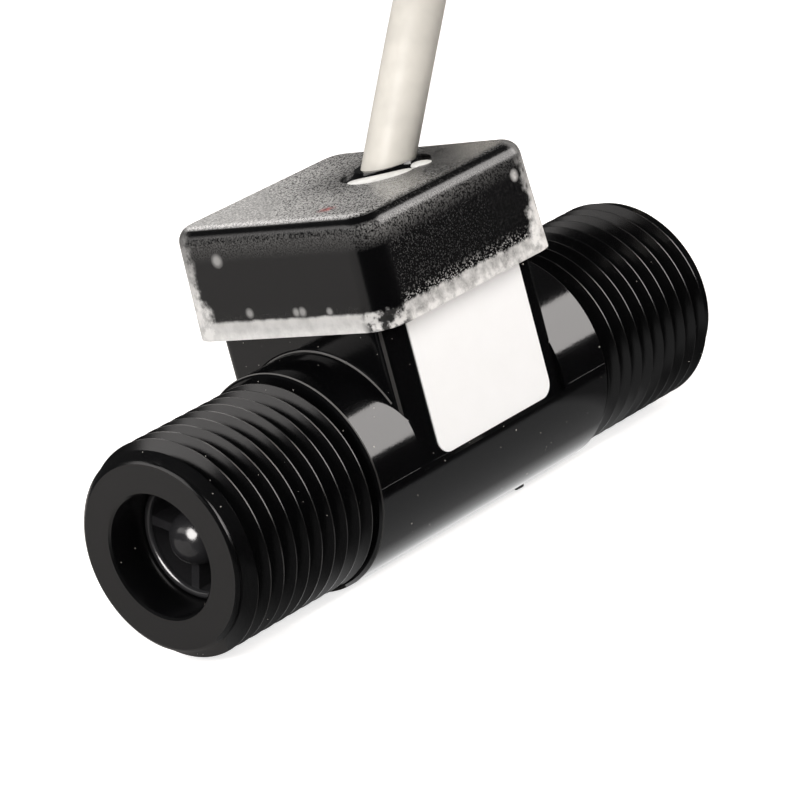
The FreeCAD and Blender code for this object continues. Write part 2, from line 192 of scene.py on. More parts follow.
class FlowSensorStageSettings(bpy.types.PropertyGroup):
    """Strength and colour of the lights, and the colour of the floor."""

    floor: colour("Floor", "Plain pale floor", "#ebe7e4")
    floor_glow: bpy.props.FloatProperty(
        name="Floor white", description="What the floor adds to look white to the camera", default=0.72)
    world: bpy.props.FloatProperty(
        name="World", description="Strength of the even light from all round", default=0.04)
    warmth: bpy.props.FloatVectorProperty(
        name="Warmth", description="Colour of the lamps", default=(1.0, 0.965, 0.945), subtype="COLOR")
    side_power: power("Side light", "Soft box to the right of the camera", 3.8)
    back_power: power("Back light", "Soft panel above and behind", 2.2)
    left_power: power("Left light", "Long panel beside the inlet end", 1.8)
    fill_power: power("Fill light", "Two broad soft lights, in front and from the left", 4.4)
    lamp_power: power("Inlet lamp", "Round lamp at the inlet end that lights only the straightener", 26.0)
    cable_power: power("Cable lamp", "Box at the inlet end that lights only the cable", 4.5)


def hex_colour(text):
    """Linear RGBA of an sRGB hex value."""
    parts = [int(text[i:i + 2], 16) / 255 for i in (1, 3, 5)]
    linear = [p / 12.92 if p <= 0.04045 else ((p + 0.055) / 1.055) ** 2.4 for p in parts]
    return (*linear, 1.0)


def per_mm(size):
    """Texture scale at which one cell of a pattern is this many millimetres."""
    return 1 / (size * MM)


def add_node(tree, kind, inputs=None, out=0, **settings):
    """Adds a node, sets it up, fills its inputs with values or links, and gives one of its outputs."""
    made = tree.nodes.new("ShaderNode" + kind)
    for name, value in settings.items():
        setattr(made, name, value)
    for name, value in (inputs or {}).items():
        if isinstance(value, bpy.types.NodeSocket):
            tree.links.new(value, made.inputs[name])
        else:
            made.inputs[name].default_value = value
    return made.outputs[out] if made.outputs else None


def new_material(name):
    """Material with an empty surface, its node tree and its Object coordinates."""
    material = bpy.data.materials.new(name)
    material.use_nodes = True
    tree = material.node_tree
    tree.nodes.clear()
    return material, tree, add_node(tree, "TexCoord", out="Object")


def finish_surface(tree, inputs):
    """Principled surface with these inputs, joined to the output."""
    surface = add_node(tree, "BsdfPrincipled", inputs)
    add_node(tree, "OutputMaterial", {"Surface": surface})


def darker(tone, share):
    """A linear colour brought down to a share of itself."""
    return tuple(share * part for part in tone[:3]) + (1.0,)


def dust_specks(tree, coords, spacing, size, share):
    """Mask of sparse round specks: spacing and size in millimetres, and the share of cells that hold one."""
    cells = add_node(tree, "TexVoronoi", {"Vector": coords, "Scale": per_mm(spacing)})
    near = add_node(tree, "Math", {0: cells, 1: size / spacing / 2}, operation="LESS_THAN")
    pick = add_node(tree, "SeparateColor", {"Color": cells.node.outputs["Color"]})
    held = add_node(tree, "Math", {0: pick, 1: share}, operation="LESS_THAN")
    return add_node(tree, "Math", {0: near, 1: held}, operation="MULTIPLY")


def black_nylon(colours, shoulder, foot, corner):
    """Black nylon, injection moulded in a polished tool: bright gloss, a faint flow texture, dust on it.

    The threaded ends are satin. Their crests are painted pale in patches, partly as wear from handling and
    partly as a painted highlight, and so are the neck's two shoulders, the fillets at the tower's foot and the
    tower's upright edges: shoulder, foot and corner are how far those lie from the neck's middle. The pale
    fades towards the outlet, and below the flow axis it fades as painted light from above.
    The real grain is a few hundredths of a millimetre: it is drawn at 0.3 mm, or it would not show.
    """
    material, tree, coords = new_material("black_nylon")
    specks = add_node(tree, "Math", {
        0: dust_specks(tree, coords, 1.2, 0.15, 0.14), 1: dust_specks(tree, coords, 0.7, 0.09, 0.12)},
        operation="MAXIMUM")
    cloud = add_node(tree, "TexNoise", {"Vector": coords, "Scale": per_mm(4.0)})
    grain = add_node(tree, "TexNoise", {"Vector": coords, "Scale": per_mm(0.3), "Detail": 2.0})
    gloss = add_node(tree, "MapRange", {
        "Value": cloud, "From Min": 0.3, "From Max": 0.7, "To Min": 0.09, "To Max": 0.12})
    centred = add_node(tree, "VectorMath", {0: coords, 1: tuple(AXIS)}, operation="SUBTRACT")
    across = add_node(tree, "VectorMath", {0: centred, 1: (0.0, 1.0, 1.0)}, operation="MULTIPLY")
    radius = add_node(tree, "VectorMath", {0: across}, out="Value", operation="LENGTH")
    slack = 0.03 * MM
    crest = add_node(tree, "Math", {0: radius, 1: THREAD_RADIUS, 2: slack}, operation="COMPARE")
    x, _, z = add_node(tree, "SeparateXYZ", {"Vector": coords}).node.outputs
    along = add_node(tree, "Math", {0: x, 1: CAP_MIDDLE.x}, operation="SUBTRACT")
    along = add_node(tree, "Math", {0: along}, operation="ABSOLUTE")
    ends = add_node(tree, "Math", {0: along, 1: shoulder + 0.15 * MM}, operation="GREATER_THAN")
    crest = add_node(tree, "Math", {0: crest, 1: ends}, operation="MULTIPLY")
    rubbed = add_node(tree, "MapRange", {
        "Value": cloud, "From Min": 0.4, "From Max": 0.62, "To Min": 0.1, "To Max": 0.7})
    wear_and_highlight = add_node(tree, "Math", {0: crest, 1: rubbed}, operation="MULTIPLY")
    # Edges painted pale, partly wear and partly a painted highlight: distance along from the middle, half width,
    # least radius, and how pale they are painted
    edges = (
        (shoulder - 0.13 * MM, 0.07 * MM, THREAD_RADIUS + 0.1 * MM, 0.85),
        (foot, 0.1 * MM, NECK_RADIUS + slack, 0.85),
        (corner, 0.12 * MM, NECK_RADIUS + slack, 0.3),
    )
    for place, half_width, least_radius, strength in edges:
        edge = add_node(tree, "Math", {0: along, 1: place, 2: half_width}, operation="COMPARE")
        raised = add_node(tree, "Math", {0: radius, 1: least_radius}, operation="GREATER_THAN")
        for factor in (raised, strength):
            edge = add_node(tree, "Math", {0: edge, 1: factor}, operation="MULTIPLY")
        wear_and_highlight = add_node(tree, "Math", {0: wear_and_highlight, 1: edge}, operation="MAXIMUM")
    handled = add_node(tree, "MapRange", {
        "Value": x, "From Min": -20.0 * MM, "From Max": 20.0 * MM, "To Min": 1.0, "To Max": 0.18})
    # Painted light: the pale lines dim below the flow axis, as if lit from above
    painted_light_fade = add_node(tree, "MapRange", {
        "Value": z, "From Min": AXIS.z + 1.0 * MM, "From Max": AXIS.z + 5.0 * MM, "To Min": 0.2})
    for factor in (handled, painted_light_fade):
        wear_and_highlight = add_node(tree, "Math", {0: wear_and_highlight, 1: factor}, operation="MULTIPLY")
    tone = add_node(tree, "Mix", {
        0: wear_and_highlight, 6: hex_colour(colours.nylon), 7: hex_colour(colours.scuff_and_highlight)}, out=2, data_type="RGBA")
    rough = add_node(tree, "Math", {0: ends, 1: 0.13, 2: gloss}, operation="MULTIPLY_ADD")
    rough = add_node(tree, "Math", {0: wear_and_highlight, 1: 0.2, 2: rough}, operation="MULTIPLY_ADD")
    finish_surface(tree, {
        "Base Color": add_node(tree, "Mix", {
            0: specks, 6: tone, 7: hex_colour(colours.dust)}, out=2, data_type="RGBA"),
        "Roughness": add_node(tree, "Math", {0: specks, 1: 0.5, 2: rough}, operation="MULTIPLY_ADD"),
        "IOR": 1.53,
        "Normal": add_node(tree, "Bump", {"Height": grain, "Distance": 0.003 * MM}),
    })
    return material


def straightener_plastic(colours):
    """Black acetal, moulded bright: glossier than the body, with faint sink marks."""
    material, tree, coords = new_material("straightener_plastic")
    specks = dust_specks(tree, coords, 1.0, 0.1, 0.1)
    sink = add_node(tree, "TexNoise", {"Vector": coords, "Scale": per_mm(1.5)})
    finish_surface(tree, {
        "Base Color": add_node(tree, "Mix", {
            0: specks, 6: hex_colour(colours.straightener), 7: hex_colour(colours.dust)},
            out=2, data_type="RGBA"),
        "Roughness": add_node(tree, "MapRange", {
            "Value": sink, "From Min": 0.3, "From Max": 0.7, "To Min": 0.14, "To Max": 0.24}),
        "IOR": 1.48,
        "Normal": add_node(tree, "Bump", {"Height": sink, "Distance": 0.02 * MM}),
    })
    return material


def label_film(colours):
    """White polyester label film: smooth, half matt, with a faint unevenness of the glue under it."""
    material, tree, coords = new_material("label_film")
    glue = add_node(tree, "TexNoise", {"Vector": coords, "Scale": per_mm(3.0)})
    finish_surface(tree, {
        "Base Color": add_node(tree, "Mix", {
            0: glue, 6: hex_colour(colours.label), 7: hex_colour(colours.label_edge)},
            out=2, data_type="RGBA"),
        "Roughness": add_node(tree, "MapRange", {
            "Value": glue, "From Min": 0.3, "From Max": 0.7, "To Min": 0.38, "To Max": 0.46}),
        "IOR": 1.5,
        "Normal": add_node(tree, "Bump", {"Height": glue, "Distance": 0.003 * MM}),
    })
    return material


# Air bubbles caught between the resin and the cap: place and radius in millimetres, and how milky
BUBBLES = (
    ((-12.9, 6.5, 31.65), 0.75, 0.4),
    ((-13.1, 3.95, 26.4), 0.55, 0.4),
    ((-13.1, -2.0, 26.2), 0.5, 0.4),
    ((-13.1, -2.8, 26.2), 0.55, 0.4),
    ((-13.1, -6.2, 26.1), 0.45, 0.4),
    ((8.9, -12.7, 31.7), 0.65, 0.95),
)
# Where the red conductor lies close under the cap's top, in millimetres
RED_SPOT = (-9.3, -5.5, 34.8)
# Draft of the cap's sides, in degrees
CAP_DRAFT = 2.0


def frosted_cap(colours):
    """Clear styrene cap from a blasted mould, over black resin.

    It is black where the resin wets it, and milky and grainy where a film of air lies behind its frost:
    along its rim, in two of its upright corners, over its top and in a few bubbles. A painted highlight
    brightens the rim's lower edge, and painted light makes the top pale towards one corner. The real frost is
    finer than a tenth of a millimetre: it is drawn at 0.18 mm, or it would not show.
    """
    material, tree, coords = new_material("frosted_cap")
    x, y, z = add_node(tree, "SeparateXYZ", {"Vector": coords}).node.outputs
    grain = add_node(tree, "TexNoise", {
        "Vector": coords, "Scale": per_mm(0.18), "Detail": 1.0, "Roughness": 0.6})
    ragged = add_node(tree, "TexNoise", {
        "Vector": coords, "Scale": per_mm(1.3), "Detail": 5.0, "Roughness": 0.65})
    speck = add_node(tree, "MapRange", {"Value": grain, "From Min": 0.53, "From Max": 0.66})
    label_side = add_node(tree, "MapRange", {
        "Value": y, "From Min": CAP_LOW.y + 2.2 * MM, "From Max": CAP_LOW.y + 0.8 * MM})

    # Milky rim below the resin, with a streaky edge
    uneven = add_node(tree, "Math", {0: ragged, 1: 0.5}, operation="SUBTRACT")
    raggedness = add_node(tree, "MapRange", {"Value": label_side, "To Min": 0.4 * MM, "To Max": 1.3 * MM})
    lift = add_node(tree, "Math", {0: uneven, 1: raggedness}, operation="MULTIPLY")
    level = add_node(tree, "Math", {0: z, 1: lift}, operation="SUBTRACT")
    rim = add_node(tree, "MapRange", {
        "Value": level, "From Min": CAP_LOW.z + 2.0 * MM, "From Max": CAP_LOW.z + 1.6 * MM},
        interpolation_type="SMOOTHSTEP")
    evenness = add_node(tree, "MapRange", {"Value": label_side, "To Min": 0.82, "To Max": 0.42})
    cloudy = add_node(tree, "MapRange", {
        "Value": ragged, "From Min": 0.36, "From Max": 0.6, "To Min": evenness})
    # The rim is left dark in reflections, because the neck below it would mirror it as a grey patch
    mirrored = add_node(tree, "LightPath", out="Is Glossy Ray")
    direct = add_node(tree, "Math", {0: 1.0, 1: mirrored}, operation="SUBTRACT")
    # A painted highlight makes it brightest along its lower edge
    painted_edge_highlight = add_node(tree, "MapRange", {
        "Value": z, "From Min": CAP_LOW.z + 0.9 * MM, "From Max": CAP_LOW.z + 0.3 * MM, "To Min": 0.8})
    for factor in (cloudy, direct, painted_edge_highlight):
        rim = add_node(tree, "Math", {0: rim, 1: factor}, operation="MULTIPLY")

    # Upright corners, milky on one diagonal: distance in from the corner, wider and brighter lower down
    half = (CAP_HIGH.x - CAP_LOW.x) / 2
    slope = math.tan(math.radians(CAP_DRAFT))
    away = []
    offsets = []
    for place, middle in ((x, CAP_MIDDLE.x), (y, CAP_MIDDLE.y)):
        offset = add_node(tree, "Math", {0: place, 1: middle}, operation="SUBTRACT")
        reach = add_node(tree, "Math", {0: offset}, operation="ABSOLUTE")
        reach = add_node(tree, "Math", {0: z, 1: slope, 2: reach}, operation="MULTIPLY_ADD")
        offsets.append(offset)
        away.append(add_node(tree, "Math", {0: reach, 1: half + CAP_LOW.z * slope}, operation="SUBTRACT"))
    corner = add_node(tree, "Math", {0: away[0], 1: away[1]}, operation="MINIMUM")
    across = add_node(tree, "Math", {0: offsets[0], 1: offsets[1]}, operation="MULTIPLY")
    outer = add_node(tree, "Math", {0: across, 1: 0.0}, operation="LESS_THAN")
    spread = add_node(tree, "MapRange", {
        "Value": z, "From Min": CAP_LOW.z + 5.5 * MM, "From Max": CAP_LOW.z + 1.5 * MM, "To Max": 1.5 * MM})
    spread = add_node(tree, "Math", {0: uneven, 1: 2.4 * MM, 2: spread}, operation="MULTIPLY_ADD")
    reached = add_node(tree, "Math", {0: corner, 1: spread}, operation="ADD")
    band = add_node(tree, "MapRange", {
        "Value": reached, "From Min": -3.0 * MM, "From Max": -1.8 * MM}, interpolation_type="SMOOTHSTEP")
    fade = add_node(tree, "MapRange", {
        "Value": z, "From Min": CAP_HIGH.z - 1.5 * MM, "From Max": CAP_LOW.z + 3.5 * MM,
        "To Min": 0.25, "To Max": 1.0})
    streak = add_node(tree, "MapRange", {"Value": ragged, "From Min": 0.3, "From Max": 0.55, "To Min": 0.4})
    for factor in (outer, fade, streak):
        band = add_node(tree, "Math", {0: band, 1: factor}, operation="MULTIPLY")

    # Grains of air on the label's side, thick towards the rim and the inlet, none at the front corner
    low = add_node(tree, "MapRange", {
        "Value": level, "From Min": CAP_LOW.z + 3.2 * MM, "From Max": CAP_LOW.z + 1.7 * MM, "To Max": 0.65})
    near = add_node(tree, "MapRange", {
        "Value": x, "From Min": CAP_HIGH.x - 6.0 * MM, "From Max": CAP_LOW.x + 3.0 * MM,
        "To Min": 0.015, "To Max": 0.06})
    grains = add_node(tree, "Math", {0: low, 1: near}, operation="MAXIMUM")
    inner = add_node(tree, "Math", {0: across, 1: 0.0}, operation="GREATER_THAN")
    front = add_node(tree, "MapRange", {
        "Value": corner, "From Min": -3.4 * MM, "From Max": -2.4 * MM})
    front = add_node(tree, "Math", {0: front, 1: inner}, operation="MULTIPLY")
    clear = add_node(tree, "Math", {0: 1.0, 1: front}, operation="SUBTRACT")
    sides = add_node(tree, "MapRange", {"Value": label_side, "To Min": 0.06})
    for factor in (speck, sides, clear):
        grains = add_node(tree, "Math", {0: grains, 1: factor}, operation="MULTIPLY")

    # At the front corner the resin has run down in blots over the rim
    blots = add_node(tree, "MapRange", {"Value": ragged, "From Min": 0.44, "From Max": 0.54, "To Min": 0.08})
    blots = add_node(tree, "Mix", {0: front, 2: 1.0, 3: blots})
    rim = add_node(tree, "Math", {0: rim, 1: blots}, operation="MULTIPLY")

    # Hazy band under the edge of the top
    haze = add_node(tree, "MapRange", {
        "Value": z, "From Min": CAP_HIGH.z - 3.4 * MM, "From Max": CAP_HIGH.z - 1.2 * MM, "To Max": 0.3})
    under = add_node(tree, "MapRange", {
        "Value": z, "From Min": CAP_HIGH.z - 0.75 * MM, "From Max": CAP_HIGH.z - 1.1 * MM})
    patchy = add_node(tree, "MapRange", {"Value": grain, "From Min": 0.35, "From Max": 0.65})
    fading = add_node(tree, "MapRange", {
        "Value": x, "From Min": CAP_HIGH.x - 3.0 * MM, "From Max": CAP_LOW.x + 5.0 * MM,
        "To Min": 0.25, "To Max": 1.0})
    less = add_node(tree, "MapRange", {"Value": label_side, "To Min": 0.4})
    for factor in (under, patchy, fading, less):
        haze = add_node(tree, "Math", {0: haze, 1: factor}, operation="MULTIPLY")

    # Frosted top: painted light makes it pale at the back corner of the inlet's edge and darker across; it is also
    # darker round the hole
    top = add_node(tree, "MapRange", {
        "Value": z, "From Min": CAP_HIGH.z - 0.3 * MM, "From Max": CAP_HIGH.z - 0.08 * MM})
    slant = add_node(tree, "Math", {0: offsets[0], 1: offsets[1]}, operation="SUBTRACT")
    pale = add_node(tree, "MapRange", {
        "Value": slant, "From Min": -14.0 * MM, "From Max": 14.0 * MM, "To Min": 1.0, "To Max": 0.18})
    hole = add_node(tree, "VectorMath", {0: coords, 1: tuple(SEAL_MIDDLE)}, out="Value", operation="DISTANCE")
    ring = add_node(tree, "MapRange", {
        "Value": hole, "From Min": 4.5 * MM, "From Max": 9.0 * MM, "To Min": 0.55})
    frost = add_node(tree, "MapRange", {"Value": grain, "From Min": 0.38, "From Max": 0.58, "To Min": 0.04})
    # Painted light also lifts the frost to an even pale towards that corner
    thick = add_node(tree, "Math", {0: pale, 1: 0.62}, operation="SUBTRACT")
    thick = add_node(tree, "Math", {0: frost, 1: thick}, operation="MAXIMUM")
    for factor in (pale, ring, thick):
        top = add_node(tree, "Math", {0: top, 1: factor}, operation="MULTIPLY")

    milk = add_node(tree, "Math", {0: rim, 1: band}, operation="MAXIMUM")
    for part in (grains, haze, top):
        milk = add_node(tree, "Math", {0: milk, 1: part}, operation="MAXIMUM")
    for place, radius, strength in BUBBLES:
        gap = add_node(tree, "VectorMath", {0: coords, 1: tuple(Vector(place) * MM)}, out="Value",
                       operation="DISTANCE")
        bubble = add_node(tree, "MapRange", {
            "Value": gap, "From Min": 1.1 * radius * MM, "From Max": 0.4 * radius * MM, "To Max": strength})
        bubble = add_node(tree, "Math", {0: bubble, 1: cloudy}, operation="MULTIPLY")
        milk = add_node(tree, "Math", {0: milk, 1: bubble}, operation="MAXIMUM")
    gap = add_node(tree, "VectorMath", {0: coords, 1: tuple(Vector(RED_SPOT) * MM)}, out="Value",
                   operation="DISTANCE")
    red = add_node(tree, "MapRange", {
        "Value": gap, "From Min": 1.1 * MM, "From Max": 0.3 * MM, "To Max": 0.9})
    red = add_node(tree, "Math", {0: red, 1: frost}, operation="MULTIPLY")
    milked = add_node(tree, "Mix", {
        0: milk, 6: hex_colour(colours.wetted), 7: hex_colour(colours.milky)}, out=2, data_type="RGBA")
    finish_surface(tree, {
        "Base Color": add_node(tree, "Mix", {
            0: red, 6: milked, 7: hex_colour(colours.red)}, out=2, data_type="RGBA"),
        "Roughness": add_node(tree, "MapRange", {"Value": milk, "To Min": 0.2, "To Max": 0.5}),
        "IOR": 1.49,
        "Normal": add_node(tree, "Bump", {"Height": grain, "Distance": 0.004 * MM}),
    })
    return material


def cast_resin(colours):
    """Black epoxy casting resin, poured and cured: wet gloss with a slow ripple."""
    material, tree, coords = new_material("cast_resin")
    ripple = add_node(tree, "TexNoise", {"Vector": coords, "Scale": per_mm(2.0), "Detail": 1.0})
    finish_surface(tree, {
        "Base Color": hex_colour(colours.resin),
        "Roughness": add_node(tree, "MapRange", {
            "Value": ripple, "From Min": 0.3, "From Max": 0.7, "To Min": 0.05, "To Max": 0.14}),
        "IOR": 1.55,
        "Normal": add_node(tree, "Bump", {"Height": ripple, "Distance": 0.08 * MM}),
    })
    return material


def vinyl(name, hexa, rough=0.42):
    """Extruded vinyl insulation: even colour with a faint haze and a slightly drawn skin."""
    material, tree, coords = new_material(name)
    tone = hex_colour(hexa)
    haze = add_node(tree, "TexNoise", {"Vector": coords, "Scale": per_mm(2.5)})
    skin = add_node(tree, "TexNoise", {"Vector": coords, "Scale": per_mm(0.5)})
    share = add_node(tree, "MapRange", {"Value": haze, "From Min": 0.4, "From Max": 0.75})
    finish_surface(tree, {
        "Base Color": add_node(tree, "Mix", {
            0: share, 6: tone, 7: darker(tone, 0.9)}, out=2, data_type="RGBA"),
        "Roughness": add_node(tree, "MapRange", {
            "Value": haze, "From Min": 0.3, "From Max": 0.7,
            "To Min": rough - 0.05, "To Max": rough + 0.08}),
        "IOR": 1.52,
        "Normal": add_node(tree, "Bump", {"Height": skin, "Distance": 0.01 * MM}),
    })
    return material


def stripped_wire(name, hexa, colours, bare_x):
    """Vinyl insulated wire stripped at its end: bright tinned strands where x is less than bare_x."""
    material, tree, coords = new_material(name)
    tone = hex_colour(hexa)
    x = add_node(tree, "SeparateXYZ", {"Vector": coords})
    bare = add_node(tree, "Math", {0: x, 1: bare_x}, operation="LESS_THAN")
    twist = add_node(tree, "TexWave", {
        "Vector": coords, "Scale": per_mm(2.4), "Distortion": 0.4}, out="Fac",
        bands_direction="DIAGONAL")
    haze = add_node(tree, "TexNoise", {"Vector": coords, "Scale": per_mm(2.5)})
    skin = add_node(tree, "Mix", {0: haze, 6: tone, 7: darker(tone, 0.85)}, out=2, data_type="RGBA")
    tin = hex_colour(colours.tin)
    strand = add_node(tree, "Mix", {0: twist, 6: darker(tin, 0.45), 7: tin}, out=2, data_type="RGBA")
    finish_surface(tree, {
        "Base Color": add_node(tree, "Mix", {0: bare, 6: skin, 7: strand}, out=2, data_type="RGBA"),
        "Metallic": bare,
        "Roughness": add_node(tree, "MapRange", {"Value": bare, "To Min": 0.42, "To Max": 0.28}),
        "Normal": add_node(tree, "Bump", {"Height": twist, "Distance": 0.02 * MM, "Strength": bare}),
    })
    return material


def plain_plastic(name, hexa, rough, grain_size, grain_depth):
    """Moulded plastic or ceramic with a fine grain: sizes in millimetres."""
    material, tree, coords = new_material(name)
    tone = hex_colour(hexa)
    grain = add_node(tree, "TexNoise", {"Vector": coords, "Scale": per_mm(grain_size), "Detail": 3.0})
    share = add_node(tree, "MapRange", {"Value": grain, "From Min": 0.35, "From Max": 0.75})
    finish_surface(tree, {
        "Base Color": add_node(tree, "Mix", {
            0: share, 6: tone, 7: darker(tone, 0.85)}, out=2, data_type="RGBA"),
        "Roughness": add_node(tree, "MapRange", {
            "Value": grain, "From Min": 0.3, "From Max": 0.7,
            "To Min": rough - 0.05, "To Max": rough + 0.08}),
        "Normal": add_node(tree, "Bump", {"Height": grain, "Distance": grain_depth * MM}),
    })
    return material


def ground_metal(name, hexa, rough):
    """Bright metal with the fine rings left by grinding, 0.1 mm apart along the flow axis."""
    material, tree, coords = new_material(name)
    tone = hex_colour(hexa)
    stretched = add_node(tree, "Mapping", {"Vector": coords, "Scale": (1.0, 0.05, 0.05)})
    rings = add_node(tree, "TexNoise", {"Vector": stretched, "Scale": per_mm(0.1), "Detail": 3.0})
    finish_surface(tree, {
        "Base Color": add_node(tree, "Mix", {
            0: rings, 6: tone, 7: darker(tone, 0.8)}, out=2, data_type="RGBA"),
        "Metallic": 1.0,
        "Roughness": add_node(tree, "MapRange", {
            "Value": rings, "From Min": 0.3, "From Max": 0.7,
            "To Min": rough - 0.06, "To Max": rough + 0.06}),
        "Normal": add_node(tree, "Bump", {"Height": rings, "Distance": 0.002 * MM}),
    })
    return material


def new_piece(name, bm, material, sharp=35.0):
    """Object on the housing made from a bmesh, smooth but for its end faces and edges past an angle."""
    mesh = bpy.data.meshes.new(name)
    bm.to_mesh(mesh)
    bm.free()
    for face in mesh.polygons:
        face.use_smooth = abs(face.normal.x) < END_FACE
    mesh.set_sharp_from_angle(angle=math.radians(sharp))
    mesh.materials.append(material)
    piece = bpy.data.objects.new(name, mesh)
    bpy.context.scene.collection.objects.link(piece)
    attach(piece, HOUSING)
    return piece


def dress_node(node, material):
    """Gives a CAD node its finish."""
    mesh = frame["nodes"][node].data
    mesh.materials.clear()
    mesh.materials.append(material)


def only(kind, geom):
    """The vertices or the edges among what an operator was given or made."""
    return [part for part in geom if isinstance(part, kind)]


def from_axis(vert):
    """Distance of a vertex from the flow axis."""
    return math.hypot(vert.co.y - AXIS.y, vert.co.z - AXIS.z)


def set_radius(vert, radius):
    """Moves a vertex straight in or out to a distance from the flow axis."""
    share = radius / from_axis(vert)
    vert.co.y = AXIS.y + (vert.co.y - AXIS.y) * share
    vert.co.z = AXIS.z + (vert.co.z - AXIS.z) * share


def tube_section(bm, segments, radius, place):
    """Circle that stands across Y at a place, as vertices and edges for a spin."""
    ring = bmesh.ops.create_circle(bm, segments=segments, radius=radius)["verts"]
    bmesh.ops.rotate(bm, verts=ring, cent=(0, 0, 0), matrix=Matrix.Rotation(math.pi / 2, 3, "X"))
    bmesh.ops.translate(bm, verts=ring, vec=place)
    return ring + list(dict.fromkeys(edge for vert in ring for edge in vert.link_edges))


def profile(bm, points):
    """Chain of edges through (x, radius) points, above the flow axis."""
    verts = [bm.verts.new((x, 0, AXIS.z + radius)) for x, radius in points]
    edges = [bm.edges.new(pair) for pair in zip(verts, verts[1:])]
    return verts + edges


def cut_at(bm, x, side=0):
    """Cuts a mesh across the flow axis and drops what lies beyond on that side, or only adds a loop."""
    geom = bm.verts[:] + bm.edges[:] + bm.faces[:]
    bmesh.ops.bisect_plane(
        bm, geom=geom, plane_co=(x, 0, 0), plane_no=(side or 1, 0, 0), clear_outer=side != 0)


def edges_near(bm, x):
    """Open edges that lie across the flow axis at x."""
    return [e for e in bm.edges if e.is_boundary and all(abs(v.co.x - x) < NEAR for v in e.verts)]


def thread_outline(sizes):
    """One turn of the thread from root to root, as (distance along, radius) points."""
    root = THREAD_RADIUS - sizes.thread_depth
    half = sizes.thread_pitch / 2
    rise = [(0.0, root), (sizes.root_width / 2, root), (half - sizes.crest_width / 2, THREAD_RADIUS)]
    return rise + [(sizes.thread_pitch - x, r) for x, r in reversed(rise)]


def add_thread(bm, sizes, start, end):
    """Helical outside of a threaded end, cut by its lead-in cone and the relief at the neck."""
    turns = math.ceil((end - start) / sizes.thread_pitch) + 2
    geom = profile(bm, [(start - 2 * sizes.thread_pitch + x, r) for x, r in thread_outline(sizes)])
    turn = Matrix.Rotation(sizes.thread_phase, 3, "X")
    bmesh.ops.rotate(bm, verts=bm.verts[:], cent=AXIS, matrix=turn)
    advance = (sizes.thread_pitch / THREAD_STEPS, 0, 0)
    bmesh.ops.spin(
        bm, geom=geom, cent=AXIS, axis=(1, 0, 0), dvec=advance, angle=2 * math.pi, steps=THREAD_STEPS)
    first_turn = bm.verts[:] + bm.edges[:] + bm.faces[:]
    for number in range(1, turns):
        copy = bmesh.ops.duplicate(bm, geom=first_turn)["geom"]
        bmesh.ops.translate(bm, verts=only(BMVert, copy), vec=(number * sizes.thread_pitch, 0, 0))
    bmesh.ops.remove_doubles(bm, verts=bm.verts, dist=HAIR / 2)
    cut_at(bm, start, -1)
    cut_at(bm, end, 1)
    # Loops that the rounded edge of the end face bends along
    for share in (0.25, 0.6, 1.1, 2.0):
        cut_at(bm, start + share * sizes.edge_round)
    root = THREAD_RADIUS - sizes.thread_depth
    slope = (THREAD_RADIUS - sizes.face_radius) / sizes.chamfer_length
    for vert in bm.verts:
        depth = vert.co.x - start
        limit = sizes.face_radius + slope * depth
        limit -= sizes.edge_round * max(0.0, 1 - depth / (2 * sizes.edge_round)) ** 2
        relief = end - sizes.relief_width - vert.co.x
        limit = min(limit, root + max(0.0, relief) * sizes.relief_slope)
        if from_axis(vert) > limit:
            set_radius(vert, limit)


def threaded_end(sizes, end):
    """Closed ring of one threaded end at the inlet side: thread, end face, stepped bore and back face."""
    bm = bmesh.new()
    start = BODY_LOW.x
    add_thread(bm, sizes, start, end)
    mouth = sizes.bore_radius + sizes.bore_chamfer
    inside = [
        (start, mouth),
        (start + sizes.bore_chamfer, sizes.bore_radius),
        (start + sizes.bore_depth, sizes.bore_radius),
        (start + sizes.bore_depth, sizes.chamber_radius),
        (end, sizes.chamber_radius),
    ]
    ring = edges_near(bm, start)
    for x, radius in inside:
        made = bmesh.ops.extrude_edge_only(bm, edges=ring)["geom"]
        ring = only(BMEdge, made)
        for vert in only(BMVert, made):
            vert.co.x = x
            set_radius(vert, radius)
    bmesh.ops.triangle_fill(bm, edges=edges_near(bm, end), normal=(1, 0, 0), use_beauty=True)
    bmesh.ops.recalc_face_normals(bm, faces=bm.faces)
    return bm


